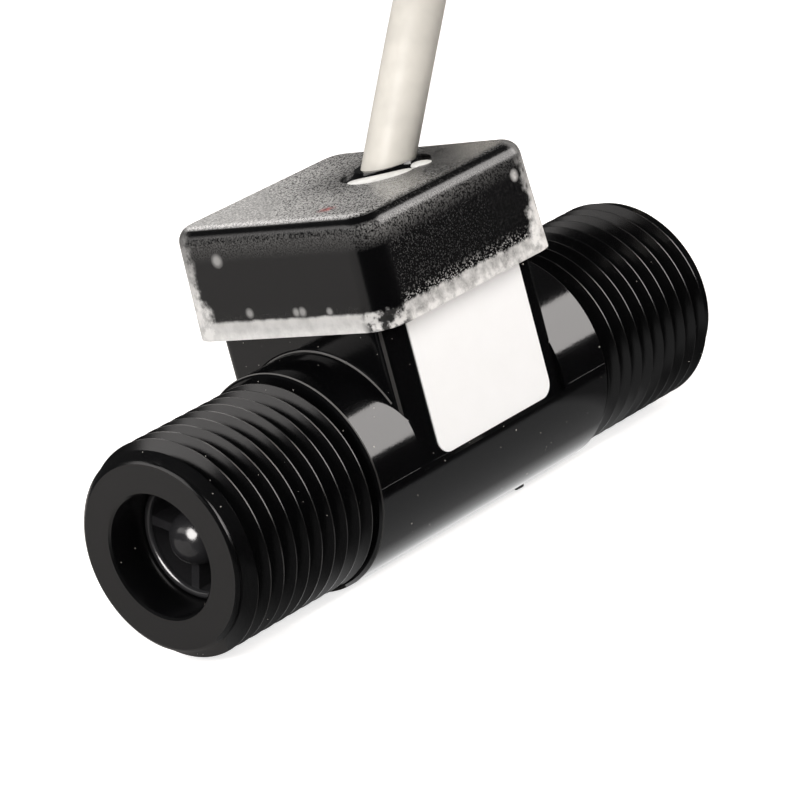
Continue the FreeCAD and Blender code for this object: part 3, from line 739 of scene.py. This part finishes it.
def neck_tube(sizes, low_x, high_x):
    """Closed tube of the plain neck, with the tower's sides cut down it as flats and the pocket's floor."""
    bm = bmesh.new()
    left = CAP_MIDDLE.x - sizes.tower_length / 2
    right = left + sizes.tower_length
    pocket_left = left + sizes.tower_wall
    pocket_right = right - sizes.tower_wall
    flat_left = left + sizes.flat_inset
    flat_right = right - sizes.flat_inset
    steps = (flat_left, flat_left + HAIR, pocket_left, pocket_left + HAIR)
    steps += (pocket_right - HAIR, pocket_right, flat_right - HAIR, flat_right)
    shoulder = NECK_RADIUS - sizes.neck_chamfer
    outline = [(low_x, sizes.chamber_radius), (low_x, shoulder), (low_x + sizes.neck_chamfer, NECK_RADIUS)]
    outline += [(x, NECK_RADIUS) for x in steps]
    outline += [(high_x - sizes.neck_chamfer, NECK_RADIUS), (high_x, shoulder)]
    outline += [(high_x, sizes.chamber_radius)]
    geom = profile(bm, outline + outline[:1])
    bmesh.ops.spin(
        bm, geom=geom, cent=AXIS, axis=(1, 0, 0), angle=2 * math.pi, steps=NECK_STEPS, use_merge=True)
    bmesh.ops.remove_doubles(bm, verts=bm.verts, dist=HAIR / 10)
    face = sizes.tower_width / 2 - HAIR
    pocket_half = sizes.tower_width / 2 - sizes.tower_wall
    for vert in bm.verts:
        y = vert.co.y - CAP_MIDDLE.y
        if flat_left + HAIR / 2 < vert.co.x < flat_right - HAIR / 2 and vert.co.z > AXIS.z - sizes.flat_drop:
            y = min(max(y, -face), face)
            vert.co.y = CAP_MIDDLE.y + y
        if pocket_left + HAIR / 2 < vert.co.x < pocket_right - HAIR / 2 and abs(y) < pocket_half:
            vert.co.z = min(vert.co.z, AXIS.z + sizes.pocket_floor)
    bmesh.ops.recalc_face_normals(bm, faces=bm.faces)
    return bm


def tower_walls(sizes):
    """Closed square wall of the tower: its foot stands in the neck and follows the neck's round."""
    bm = bmesh.new()
    bmesh.ops.create_grid(bm, x_segments=1, y_segments=1, size=0.5)
    bmesh.ops.scale(bm, verts=bm.verts, vec=(sizes.tower_length, sizes.tower_width, 1))
    bmesh.ops.bevel(
        bm, geom=bm.verts[:], offset=sizes.tower_corner, offset_type="OFFSET", affect="VERTICES", segments=8,
        profile=0.5, material=-1)
    bmesh.ops.delete(bm, geom=bm.faces[:], context="FACES_ONLY")
    long_edges = [e for e in bm.edges if e.calc_length() > sizes.tower_corner]
    bmesh.ops.subdivide_edges(bm, edges=long_edges, cuts=40)
    bmesh.ops.translate(bm, verts=bm.verts, vec=(CAP_MIDDLE.x, CAP_MIDDLE.y, 0))
    ring = bm.edges[:]
    buried = NECK_RADIUS - sizes.seat_depth
    for vert in bm.verts:
        rise = buried ** 2 - (vert.co.y - AXIS.y) ** 2
        vert.co.z = AXIS.z + (math.sqrt(rise) if rise > 0 else -sizes.flat_drop)
    both_walls = 2 * sizes.tower_wall
    narrow = Vector((1 - both_walls / sizes.tower_length, 1 - both_walls / sizes.tower_width, 1))
    for height, inward in ((BODY_HIGH.z, False), (BODY_HIGH.z, True), (AXIS.z + sizes.pocket_floor, False)):
        made = bmesh.ops.extrude_edge_only(bm, edges=ring)["geom"]
        ring = only(BMEdge, made)
        verts = only(BMVert, made)
        for vert in verts:
            vert.co.z = height
        if inward:
            middle = Matrix.Translation((-CAP_MIDDLE.x, -CAP_MIDDLE.y, 0))
            bmesh.ops.scale(bm, verts=verts, vec=narrow, space=middle)
    bmesh.ops.bridge_loops(bm, edges=[e for e in bm.edges if e.is_boundary])
    bmesh.ops.recalc_face_normals(bm, faces=bm.faces)
    return bm


def tower_fillets(sizes):
    """Small concave fillets where the tower's end faces rise from the neck."""
    bm = bmesh.new()
    reach = math.asin((sizes.tower_width / 2 - abs(CAP_MIDDLE.y) - sizes.tower_corner / 2) / NECK_RADIUS)
    facets = 4
    for side in (-1, 1):
        wall = CAP_MIDDLE.x + side * sizes.tower_length / 2
        points = [(wall - side * 2 * HAIR, NECK_RADIUS - 2 * HAIR)]
        for step in range(facets + 1):
            angle = math.radians(90 * step / facets)
            along = sizes.fillet * (1 - math.sin(angle))
            points.append((wall + side * along, NECK_RADIUS + sizes.fillet * (1 - math.cos(angle))))
        geom = profile(bm, points + points[:1])
        turn = Matrix.Rotation(-reach, 3, "X")
        bmesh.ops.rotate(bm, verts=only(BMVert, geom), cent=AXIS, matrix=turn)
        bmesh.ops.spin(bm, geom=geom, cent=AXIS, axis=(1, 0, 0), angle=2 * reach, steps=FILLET_STEPS)
    bmesh.ops.remove_doubles(bm, verts=bm.verts, dist=HAIR / 10)
    bmesh.ops.holes_fill(bm, edges=[e for e in bm.edges if e.is_boundary], sides=0)
    bmesh.ops.recalc_face_normals(bm, faces=bm.faces)
    return bm


def gate_stub(sizes):
    """Short broken-off stub under the neck where the mould was fed."""
    bm = bmesh.new()
    bmesh.ops.create_cone(
        bm, cap_ends=True, segments=GATE_STEPS, radius1=sizes.gate_radius, radius2=0.8 * sizes.gate_radius,
        depth=sizes.gate_length)
    rim = [e for e in bm.edges if all(v.co.z > 0 for v in e.verts)]
    bmesh.ops.bevel(
        bm, geom=rim, offset=sizes.gate_round, affect="EDGES", segments=3, profile=0.5, material=-1)
    # It points down and a little towards the label's side
    outward = Vector((0, -3.0, -10.5)).normalized()
    turn = outward.to_track_quat("Z", "X").to_matrix()
    bmesh.ops.rotate(bm, verts=bm.verts, cent=(0, 0, 0), matrix=turn)
    place = AXIS + Vector((sizes.gate_place, 0, 0)) + outward * NECK_RADIUS
    bmesh.ops.translate(bm, verts=bm.verts, vec=place)
    return bm


def mould_seams(sizes, low_x, high_x):
    """Fine raised lines along both sides of the neck where the mould parts."""
    bm = bmesh.new()
    left = CAP_MIDDLE.x - sizes.tower_length / 2
    right = left + sizes.tower_length
    reach = math.sqrt(NECK_RADIUS ** 2 - sizes.seam_drop ** 2) - sizes.seam_radius / 2
    for start, end in ((low_x + sizes.neck_chamfer, left), (right, high_x - sizes.neck_chamfer)):
        for side in (-1, 1):
            made = bmesh.ops.create_cone(
                bm, cap_ends=True, segments=SEAM_STEPS, radius1=sizes.seam_radius, radius2=sizes.seam_radius,
                depth=end - start)["verts"]
            bmesh.ops.rotate(bm, verts=made, cent=(0, 0, 0), matrix=Matrix.Rotation(math.pi / 2, 3, "Y"))
            bmesh.ops.translate(
                bm, verts=made, vec=((start + end) / 2, AXIS.y + side * reach, AXIS.z - sizes.seam_drop))
    return bm


class FLOWSENSOR_OT_body(bpy.types.Operator):
    """Builds the moulded body: neck, tower, threaded ends, fillets, parting lines and gate stub."""

    bl_idname = "flow_sensor.body"
    bl_label = "Body"

    def execute(self, context):
        sizes = context.scene.flow_sensor_body
        inlet, outlet = MOUNTS["inlet_thread"], MOUNTS["outlet_thread"]
        inlet_end = inlet["pos_m"][0] + inlet["dims"]["length_mm"] * MM / 2
        outlet_end = outlet["pos_m"][0] - outlet["dims"]["length_mm"] * MM / 2
        shoulder = (outlet_end - inlet_end - sizes.neck_chamfer) / 2
        foot = (sizes.tower_length + sizes.fillet) / 2
        # The pale line on the tower's upright edges, partly wear and partly a painted highlight, lies a little in
        # from its end faces
        corner = sizes.tower_length / 2 - 0.3 * sizes.tower_corner
        nylon = black_nylon(context.scene.flow_sensor_colours, shoulder, foot, corner)
        neck = new_piece("body_neck", neck_tube(sizes, inlet_end, outlet_end), nylon, sharp=8)
        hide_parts("body")
        new_piece("body_tower", tower_walls(sizes), nylon, sharp=20)
        new_piece("tower_fillets", tower_fillets(sizes), nylon)
        new_piece("mould_seams", mould_seams(sizes, inlet_end, outlet_end), nylon)
        new_piece("gate_stub", gate_stub(sizes), nylon)
        new_piece("inlet_thread", threaded_end(sizes, inlet_end - HAIR), nylon, sharp=20)
        far_end = threaded_end(sizes, -outlet_end - HAIR)
        bmesh.ops.rotate(far_end, verts=far_end.verts, cent=AXIS, matrix=Matrix.Rotation(math.pi, 3, "Z"))
        new_piece("outlet_thread", far_end, nylon, sharp=20)
        return {"FINISHED"}


def painted_reflection_beads(bm, radius, tube, arcs):
    """Tapered white beads round the cable, a painted reflection: each arc is its first and last angle in degrees.
    """
    tip = 0.04
    for first, last in arcs:
        middle = math.radians((first + last) / 2)
        half = math.radians((last - first) / 2)
        geom = tube_section(bm, segments=12, radius=tube, place=(radius, 0, 0))
        ring = only(BMVert, geom)
        turn = Matrix.Rotation(math.radians(first), 3, "Z")
        bmesh.ops.rotate(bm, verts=ring, cent=(0, 0, 0), matrix=turn)
        before = set(bm.verts)
        bmesh.ops.spin(bm, geom=geom, cent=(0, 0, 0), axis=(0, 0, 1), angle=2 * half, steps=PAINTED_REFLECTION_STEPS)
        for vert in ring + [v for v in bm.verts if v not in before]:
            angle = math.atan2(vert.co.y, vert.co.x) - middle
            angle = (angle + math.pi) % (2 * math.pi) - math.pi
            thick = math.sqrt(max(0.0, 1 - (angle / half) ** 2)) * (1 - tip) + tip
            spine = Vector((math.cos(angle + middle), math.sin(angle + middle), 0)) * radius
            vert.co = spine + (vert.co - spine) * thick
    bmesh.ops.remove_doubles(bm, verts=bm.verts, dist=HAIR / 10)
    bmesh.ops.holes_fill(bm, edges=[e for e in bm.edges if e.is_boundary], sides=0)
    bmesh.ops.recalc_face_normals(bm, faces=bm.faces)


class FLOWSENSOR_OT_cap(bpy.types.Operator):
    """Finishes the cap and the resin in it, and lays white beads round the cable as a painted reflection."""

    bl_idname = "flow_sensor.cap"
    bl_label = "Cap and resin"

    # White beads round the cable, a painted reflection at its foot: radius of their ring and of their section, how
    # flat and how far sunk, and their arcs
    BEAD_RING = 4.0 * MM
    BEAD_SECTION = 1.25 * MM
    BEAD_FLATNESS = 0.3
    BEAD_SINK = 0.1 * MM
    BEAD_ARCS = ((158, 262), (-94, -68))

    def execute(self, context):
        colours = context.scene.flow_sensor_colours
        resin = cast_resin(colours)
        dress_node("cap", frosted_cap(colours))
        dress_node("potting", resin)
        dress_node("cable_seal", resin)
        bm = bmesh.new()
        painted_reflection_beads(bm, self.BEAD_RING, self.BEAD_SECTION, self.BEAD_ARCS)
        bmesh.ops.scale(bm, verts=bm.verts, vec=(1, 1, self.BEAD_FLATNESS))
        place = (SEAL_MIDDLE.x, SEAL_MIDDLE.y, CAP_HIGH.z - self.BEAD_SINK)
        bmesh.ops.translate(bm, verts=bm.verts, vec=place)
        painted_reflection = plain_plastic("white_painted_reflection", colours.painted_reflection, 0.35, 0.8, 0.01)
        new_piece("painted_reflection_beads", bm, painted_reflection)
        return {"FINISHED"}


class FLOWSENSOR_OT_label(bpy.types.Operator):
    """Finishes the plain label."""

    bl_idname = "flow_sensor.label"
    bl_label = "Label"

    def execute(self, context):
        dress_node("label", label_film(context.scene.flow_sensor_colours))
        return {"FINISHED"}


class FLOWSENSOR_OT_flow_parts(bpy.types.Operator):
    """Finishes the straighteners, bushes, turbine, shaft and magnets in the bore."""

    bl_idname = "flow_sensor.flow_parts"
    bl_label = "Parts in the flow"

    # The straightener: how far its nose stands before its rim, and the bead on that rim
    NOSE = 2.2 * MM
    RIM = 5.62 * MM
    BEAD = 0.4 * MM

    def execute(self, context):
        colours = context.scene.flow_sensor_colours
        straightener = straightener_plastic(colours)
        bush = plain_plastic("waxy_bush", colours.bush, 0.4, 0.3, 0.004)
        for end in ("inlet", "outlet"):
            dress_node(end + "_spider", straightener)
            dress_node(end + "_bush", bush)
        bm = bmesh.new()
        for x in (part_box("inlet_spider")[0].x + self.NOSE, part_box("outlet_spider")[1].x - self.NOSE):
            geom = tube_section(bm, segments=16, radius=self.BEAD, place=(x, 0, AXIS.z + self.RIM))
            bmesh.ops.spin(
                bm, geom=geom, cent=AXIS, axis=(1, 0, 0), angle=2 * math.pi, steps=RIM_STEPS, use_merge=True)
        bmesh.ops.recalc_face_normals(bm, faces=bm.faces)
        rims = new_piece("straightener_rims", bm, straightener)
        bpy.data.collections[LAMP_LIT].objects.link(rims)
        dress_node("turbine_rotor", plain_plastic("natural_acetal", colours.acetal, 0.34, 0.8, 0.006))
        dress_node("rotor_shaft", ground_metal("ground_steel", colours.steel, 0.22))
        dress_node("rotor_magnets", plain_plastic("sintered_ferrite", colours.ferrite, 0.55, 0.12, 0.008))
        return {"FINISHED"}


class FLOWSENSOR_OT_electronics(bpy.types.Operator):
    """Finishes the pick-up, its board, the conductors cast into the resin and the cable's stripped ends."""

    bl_idname = "flow_sensor.electronics"
    bl_label = "Electronics"

    # Where the insulation of the cable's wires ends along X
    STRIPPED = 16.05 * MM

    def execute(self, context):
        colours = context.scene.flow_sensor_colours
        chip = plain_plastic("chip_case", colours.chip, 0.5, 0.1, 0.004)
        dress_node("hall_sensor", chip)
        dress_node("pull_up_resistor", chip)
        dress_node("hall_leads", ground_metal("tinned_lead", colours.tin, 0.3))
        dress_node("circuit_board", plain_plastic("solder_mask", colours.board, 0.3, 0.6, 0.004))
        dress_node("bypass_capacitor", plain_plastic("fired_ceramic", colours.ceramic, 0.5, 0.15, 0.003))
        for name in WIRES:
            tone = getattr(colours, name)
            dress_node("inner_wire_" + name, vinyl(name + "_insulation", tone))
            dress_node("lead_wire_" + name, stripped_wire(name + "_lead", tone, colours, self.STRIPPED))
        return {"FINISHED"}


class FLOWSENSOR_OT_cable(bpy.types.Operator):
    """Lays the cable: out of the cap, over and down behind the sensor, then folded into a tied flat loop."""

    bl_idname = "flow_sensor.cable"
    bl_label = "Cable"

    # The cable's way to its loop, in millimetres
    ROUTE = [
        (2.489, -0.138, 29.821),
        (6.5, -5.4, 44.0),
        (16.4, -5.3, 56.4),
        (29.5, 0.5, 63.6),
        (42.3, 10.1, 63.7),
        (51.4, 21.2, 56.5),
        (57.7, 33.9, 44.7),
        (55.8, 42.6, 27.3),
        (48.3, 46.8, 12.7),
        (34.0, 48.3, 3.65),
        (17.6, 48.3, 3.65),
    ]
    EXIT = (3.9, -2.0, 34.8)
    CORD_LENGTH = 0.335
    # Height of the cable's middle over the floor of the tie, and where along X that rise begins and ends
    LIFT = 3.65 * MM
    RISE_START = 46 * MM
    RISE_END = 36 * MM
    FOLD_POINTS = 8

    def execute(self, context):
        sizes = context.scene.flow_sensor_cable
        colours = context.scene.flow_sensor_colours
        points = [Vector(p) * MM for p in self.ROUTE] + self.loop_points(sizes)
        curve = bpy.data.curves.new("sensor_cable", "CURVE")
        curve.dimensions = "3D"
        curve.bevel_depth = sizes.diameter / 2
        curve.bevel_resolution = 8
        curve.resolution_u = 12
        curve.use_fill_caps = True
        spline = curve.splines.new("NURBS")
        spline.points.add(len(points) - 1)
        for spot, place in zip(spline.points, points):
            spot.co = (*place, 1.0)
        spline.order_u = 3
        spline.use_endpoint_u = True
        curve.materials.append(vinyl("cable_jacket", colours.jacket, 0.45))
        cable = bpy.data.objects.new("sensor_cable", curve)
        context.scene.collection.objects.link(cable)
        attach(cable, HOUSING)
        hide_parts("lead_cable", "cable_hank")
        bpy.data.collections[CABLE_LIT].objects.link(cable)
        spared = bpy.data.collections[CABLE_SPARED]
        spared.objects.link(cable)
        spared.collection_objects[0].light_linking.link_state = "EXCLUDE"
        dress_node("cable_tie", plain_plastic("natural_nylon", colours.tie, 0.38, 0.5, 0.006))
        pieces = [frame["nodes"]["cable_tie"]]
        pieces += [frame["nodes"]["lead_wire_" + name] for name in WIRES]
        return {"FINISHED"}

    def fold_points(self, centre, radius, first_angle):
        """Control points of one half turn of the loop."""
        half_step = math.pi / self.FOLD_POINTS / 2
        reach = radius / math.cos(half_step)
        angles = [first_angle + half_step * (2 * number + 1) for number in range(self.FOLD_POINTS)]
        return [centre + reach * Vector((math.cos(angle), math.sin(angle), 0)) for angle in angles]

    def loop_points(self, sizes):
        """Points of the folded loop, lying on the floor and lifted only where the tie passes under it."""
        floor = sizes.diameter / 2 + 0.05 * MM
        back = sizes.front_run + 2 * sizes.bend_radius
        left_radius = sizes.bend_radius + sizes.side_by_side / 2
        left = Vector((sizes.fold_left, sizes.front_run + left_radius, floor))
        right = Vector((sizes.fold_right, sizes.front_run + sizes.bend_radius, floor))
        points = self.fold_points(left, left_radius, math.pi / 2)
        for share in (0.25, 0.5, 0.75):
            x = sizes.fold_left + share * (sizes.fold_right - sizes.fold_left)
            points.append(Vector((x, sizes.front_run, floor)))
        points += self.fold_points(right, sizes.bend_radius, -math.pi / 2)
        points.append(Vector((self.RISE_START, back, floor)))
        points.append(Vector((self.RISE_END, back, self.LIFT)))
        points.append(Vector((sizes.cable_end, back, self.LIFT)))
        return points


class FLOWSENSOR_OT_stage(bpy.types.Operator):
    """Sets the floor, the card that shows in reflections, the lights, the world and the camera."""

    bl_idname = "flow_sensor.stage"
    bl_label = "Stage"

    CAMERA_PLACE = (-0.3239, -0.3086, 0.12045)
    CAMERA_RIGHT = (0.6229, -0.7404, -0.2527)
    CAMERA_UP = (0.3427, -0.0322, 0.9389)
    LENS = 216.21
    # What the lights are aimed at
    MIDDLE = Vector((0, 0, 20 * MM))
    # The card's length and width, and the edge that lies nearest to the sensor
    CARD_SIZE = (2.4, 1.2)
    CARD_EDGE = -3.0 * MM

    def execute(self, context):
        settings = context.scene.flow_sensor_stage
        self.add_floor(context, settings)
        self.add_card(context)
        self.add_camera(context)
        receivers = {name: bpy.data.collections.new(name) for name in (LAMP_LIT, CABLE_LIT, CABLE_SPARED)}
        receivers[LAMP_LIT].objects.link(frame["nodes"]["inlet_spider"])
        side = self.add_light(context, "side_box", (0.546, -0.476, 0.235), 0.5, 0.42, settings.side_power)
        side.light_linking.receiver_collection = receivers[CABLE_SPARED]
        self.add_light(context, "back_panel", (0.35, 0.6, 0.62), 0.5, 0.5, settings.back_power)
        self.add_light(context, "left_panel", (-0.75, 0.36, 0.52), 0.9, 0.3, settings.left_power)
        for name, offset in (("front_fill", (-0.45, -0.75, 0.45)), ("left_fill", (-0.62, 0.25, 0.45))):
            fill = self.add_light(context, name, offset, 0.6, 0.6, settings.fill_power)
            fill.visible_glossy = False
            fill.data.color = (1, 1, 1)
            fill.light_linking.receiver_collection = receivers[CABLE_SPARED]
        lamp = self.add_light(context, "inlet_lamp", (-0.7, -0.26, 0.35), 0.64, 0.64, settings.lamp_power)
        lamp.data.shape = "ELLIPSE"
        lamp.light_linking.receiver_collection = receivers[LAMP_LIT]
        lamp = self.add_light(context, "cable_lamp", (-0.72, -0.24, 0.23), 0.3, 0.3, settings.cable_power)
        lamp.light_linking.receiver_collection = receivers[CABLE_LIT]
        self.add_world(context, settings)
        context.scene.view_settings.view_transform = "Standard"
        return {"FINISHED"}

    def seen_by_camera(self, tree):
        """Outputs of a light path, and a mask of the camera's rays, straight or through glass."""
        path = add_node(tree, "LightPath").node.outputs
        seen = add_node(
            tree, "Math", {0: path["Is Camera Ray"], 1: path["Is Transmission Ray"]}, operation="MAXIMUM")
        return path, seen

    def add_sheet(self, context, name, bm, material):
        """Flat object of the stage, made from a bmesh."""
        mesh = bpy.data.meshes.new(name)
        bm.to_mesh(mesh)
        bm.free()
        mesh.materials.append(material)
        sheet = bpy.data.objects.new(name, mesh)
        context.scene.collection.objects.link(sheet)
        return sheet

    def add_world(self, context, settings):
        """Dim even light from all round, that is plain white where the camera looks past the floor."""
        world = bpy.data.worlds.new("studio")
        world.use_nodes = True
        tree = world.node_tree
        tree.nodes.clear()
        seen = self.seen_by_camera(tree)[1]
        strength = add_node(
            tree, "Math", {0: seen, 1: 1 - settings.world, 2: settings.world}, operation="MULTIPLY_ADD")
        surface = add_node(tree, "Background", {"Color": (1, 1, 1, 1), "Strength": strength})
        add_node(tree, "OutputWorld", {"Surface": surface})
        context.scene.world = world

    def add_floor(self, context, settings):
        """Plain pale floor that the camera sees as white, and that shows darker in reflections."""
        bm = bmesh.new()
        bmesh.ops.create_grid(bm, x_segments=1, y_segments=1, size=4.0)
        material, tree, coords = new_material("studio_floor")
        mottle = add_node(tree, "TexNoise", {"Vector": coords, "Scale": per_mm(60.0)})
        path, seen = self.seen_by_camera(tree)
        tone = hex_colour(settings.floor)
        finish_surface(tree, {
            "Base Color": add_node(tree, "Mix", {
                0: path["Is Glossy Ray"], 6: tone, 7: darker(tone, 0.7)}, out=2, data_type="RGBA"),
            "Roughness": add_node(tree, "MapRange", {"Value": mottle, "To Min": 0.6, "To Max": 0.75}),
            "Emission Color": (1, 1, 1, 1),
            "Emission Strength": add_node(
                tree, "Math", {0: seen, 1: settings.floor_glow}, operation="MULTIPLY"),
        })
        self.add_sheet(context, "floor", bm, material)

    def add_card(self, context):
        """Card on the floor before the label's side, seen only in reflections.

        It is black, grey in a band in front of the neck, and pale close to the neck.
        """
        bm = bmesh.new()
        bmesh.ops.create_grid(bm, x_segments=1, y_segments=1, size=0.5)
        bmesh.ops.scale(bm, verts=bm.verts, vec=(*self.CARD_SIZE, 1.0))
        place = (0.4, self.CARD_EDGE - self.CARD_SIZE[1] / 2, 0.1 * MM)
        bmesh.ops.translate(bm, verts=bm.verts, vec=place)
        material, tree, coords = new_material("reflection_card")
        x, y = add_node(tree, "SeparateXYZ", {"Vector": coords}).node.outputs[:2]
        grey = add_node(tree, "MapRange", {
            "Value": y, "From Min": -22.0 * MM, "From Max": -20.5 * MM, "To Max": 0.33})
        pale = add_node(tree, "MapRange", {
            "Value": y, "From Min": -8.0 * MM, "From Max": -3.6 * MM, "To Max": 1.0})
        tone = add_node(tree, "Math", {0: grey, 1: pale}, operation="ADD")
        for full, dim in ((-23.0, -27.0), (22.0, 25.0)):
            past = add_node(tree, "MapRange", {
                "Value": x, "From Min": dim * MM, "From Max": full * MM, "To Min": 0.3})
            tone = add_node(tree, "Math", {0: tone, 1: past}, operation="MULTIPLY")
        finish_surface(tree, {
            "Base Color": (0, 0, 0, 1),
            "Specular IOR Level": 0.0,
            "Emission Color": (1, 1, 1, 1),
            "Emission Strength": tone,
        })
        card = self.add_sheet(context, "reflection_card", bm, material)
        card.visible_camera = False
        card.visible_diffuse = False
        card.visible_transmission = False
        card.visible_shadow = False

    def add_camera(self, context):
        """Camera at the photograph's place."""
        data = bpy.data.cameras.new("camera")
        data.lens = self.LENS
        data.sensor_width = 36.0
        data.clip_start = 0.01
        data.clip_end = 20.0
        camera = bpy.data.objects.new("camera", data)
        right = Vector(self.CAMERA_RIGHT).normalized()
        back = right.cross(Vector(self.CAMERA_UP)).normalized()
        up = back.cross(right)
        turn = Matrix((right, up, back)).transposed().to_4x4()
        camera.matrix_world = Matrix.Translation(self.CAMERA_PLACE) @ turn
        context.scene.collection.objects.link(camera)
        context.scene.camera = camera

    def add_light(self, context, name, offset, width, height, watts):
        """Rectangular soft light, aimed back along its offset from the sensor's middle."""
        data = bpy.data.lights.new(name, "AREA")
        data.color = context.scene.flow_sensor_stage.warmth
        data.shape = "RECTANGLE"
        data.size = width
        data.size_y = height
        data.energy = watts
        light = bpy.data.objects.new(name, data)
        offset = Vector(offset)
        turn = offset.to_track_quat("Z", "Y").to_matrix().to_4x4()
        light.matrix_world = Matrix.Translation(self.MIDDLE + offset) @ turn
        context.scene.collection.objects.link(light)
        return light


class FLOWSENSOR_PT_panel(bpy.types.Panel):
    """Lists the pieces that can be built."""

    bl_idname = "FLOWSENSOR_PT_panel"
    bl_label = "Flow sensor"
    bl_space_type = "VIEW_3D"
    bl_region_type = "UI"
    bl_category = "Flow sensor"

    def draw(self, context):
        for operator in OPERATORS:
            self.layout.operator(operator.bl_idname)


GROUPS = {
    "flow_sensor_body": FlowSensorBodySizes,
    "flow_sensor_cable": FlowSensorCableSizes,
    "flow_sensor_colours": FlowSensorColours,
    "flow_sensor_stage": FlowSensorStageSettings,
}
OPERATORS = (
    FLOWSENSOR_OT_stage,
    FLOWSENSOR_OT_cable,
    FLOWSENSOR_OT_body,
    FLOWSENSOR_OT_cap,
    FLOWSENSOR_OT_label,
    FLOWSENSOR_OT_flow_parts,
    FLOWSENSOR_OT_electronics,
)


def register():
    """Registers the settings, the operators and the panel."""
    for name, group in GROUPS.items():
        bpy.utils.register_class(group)
        setattr(bpy.types.Scene, name, bpy.props.PointerProperty(type=group))
    for operator in OPERATORS:
        bpy.utils.register_class(operator)
    bpy.utils.register_class(FLOWSENSOR_PT_panel)


def unregister():
    """Takes everything out again."""
    bpy.utils.unregister_class(FLOWSENSOR_PT_panel)
    for operator in reversed(OPERATORS):
        bpy.utils.unregister_class(operator)
    for name, group in GROUPS.items():
        delattr(bpy.types.Scene, name)
        bpy.utils.unregister_class(group)


def main():
    """Builds every piece and the stage."""
    register()
    bpy.ops.flow_sensor.stage()
    bpy.ops.flow_sensor.cable()
    bpy.ops.flow_sensor.body()
    bpy.ops.flow_sensor.cap()
    bpy.ops.flow_sensor.label()
    bpy.ops.flow_sensor.flow_parts()
    bpy.ops.flow_sensor.electronics()


if __name__ == "__main__":
    main()
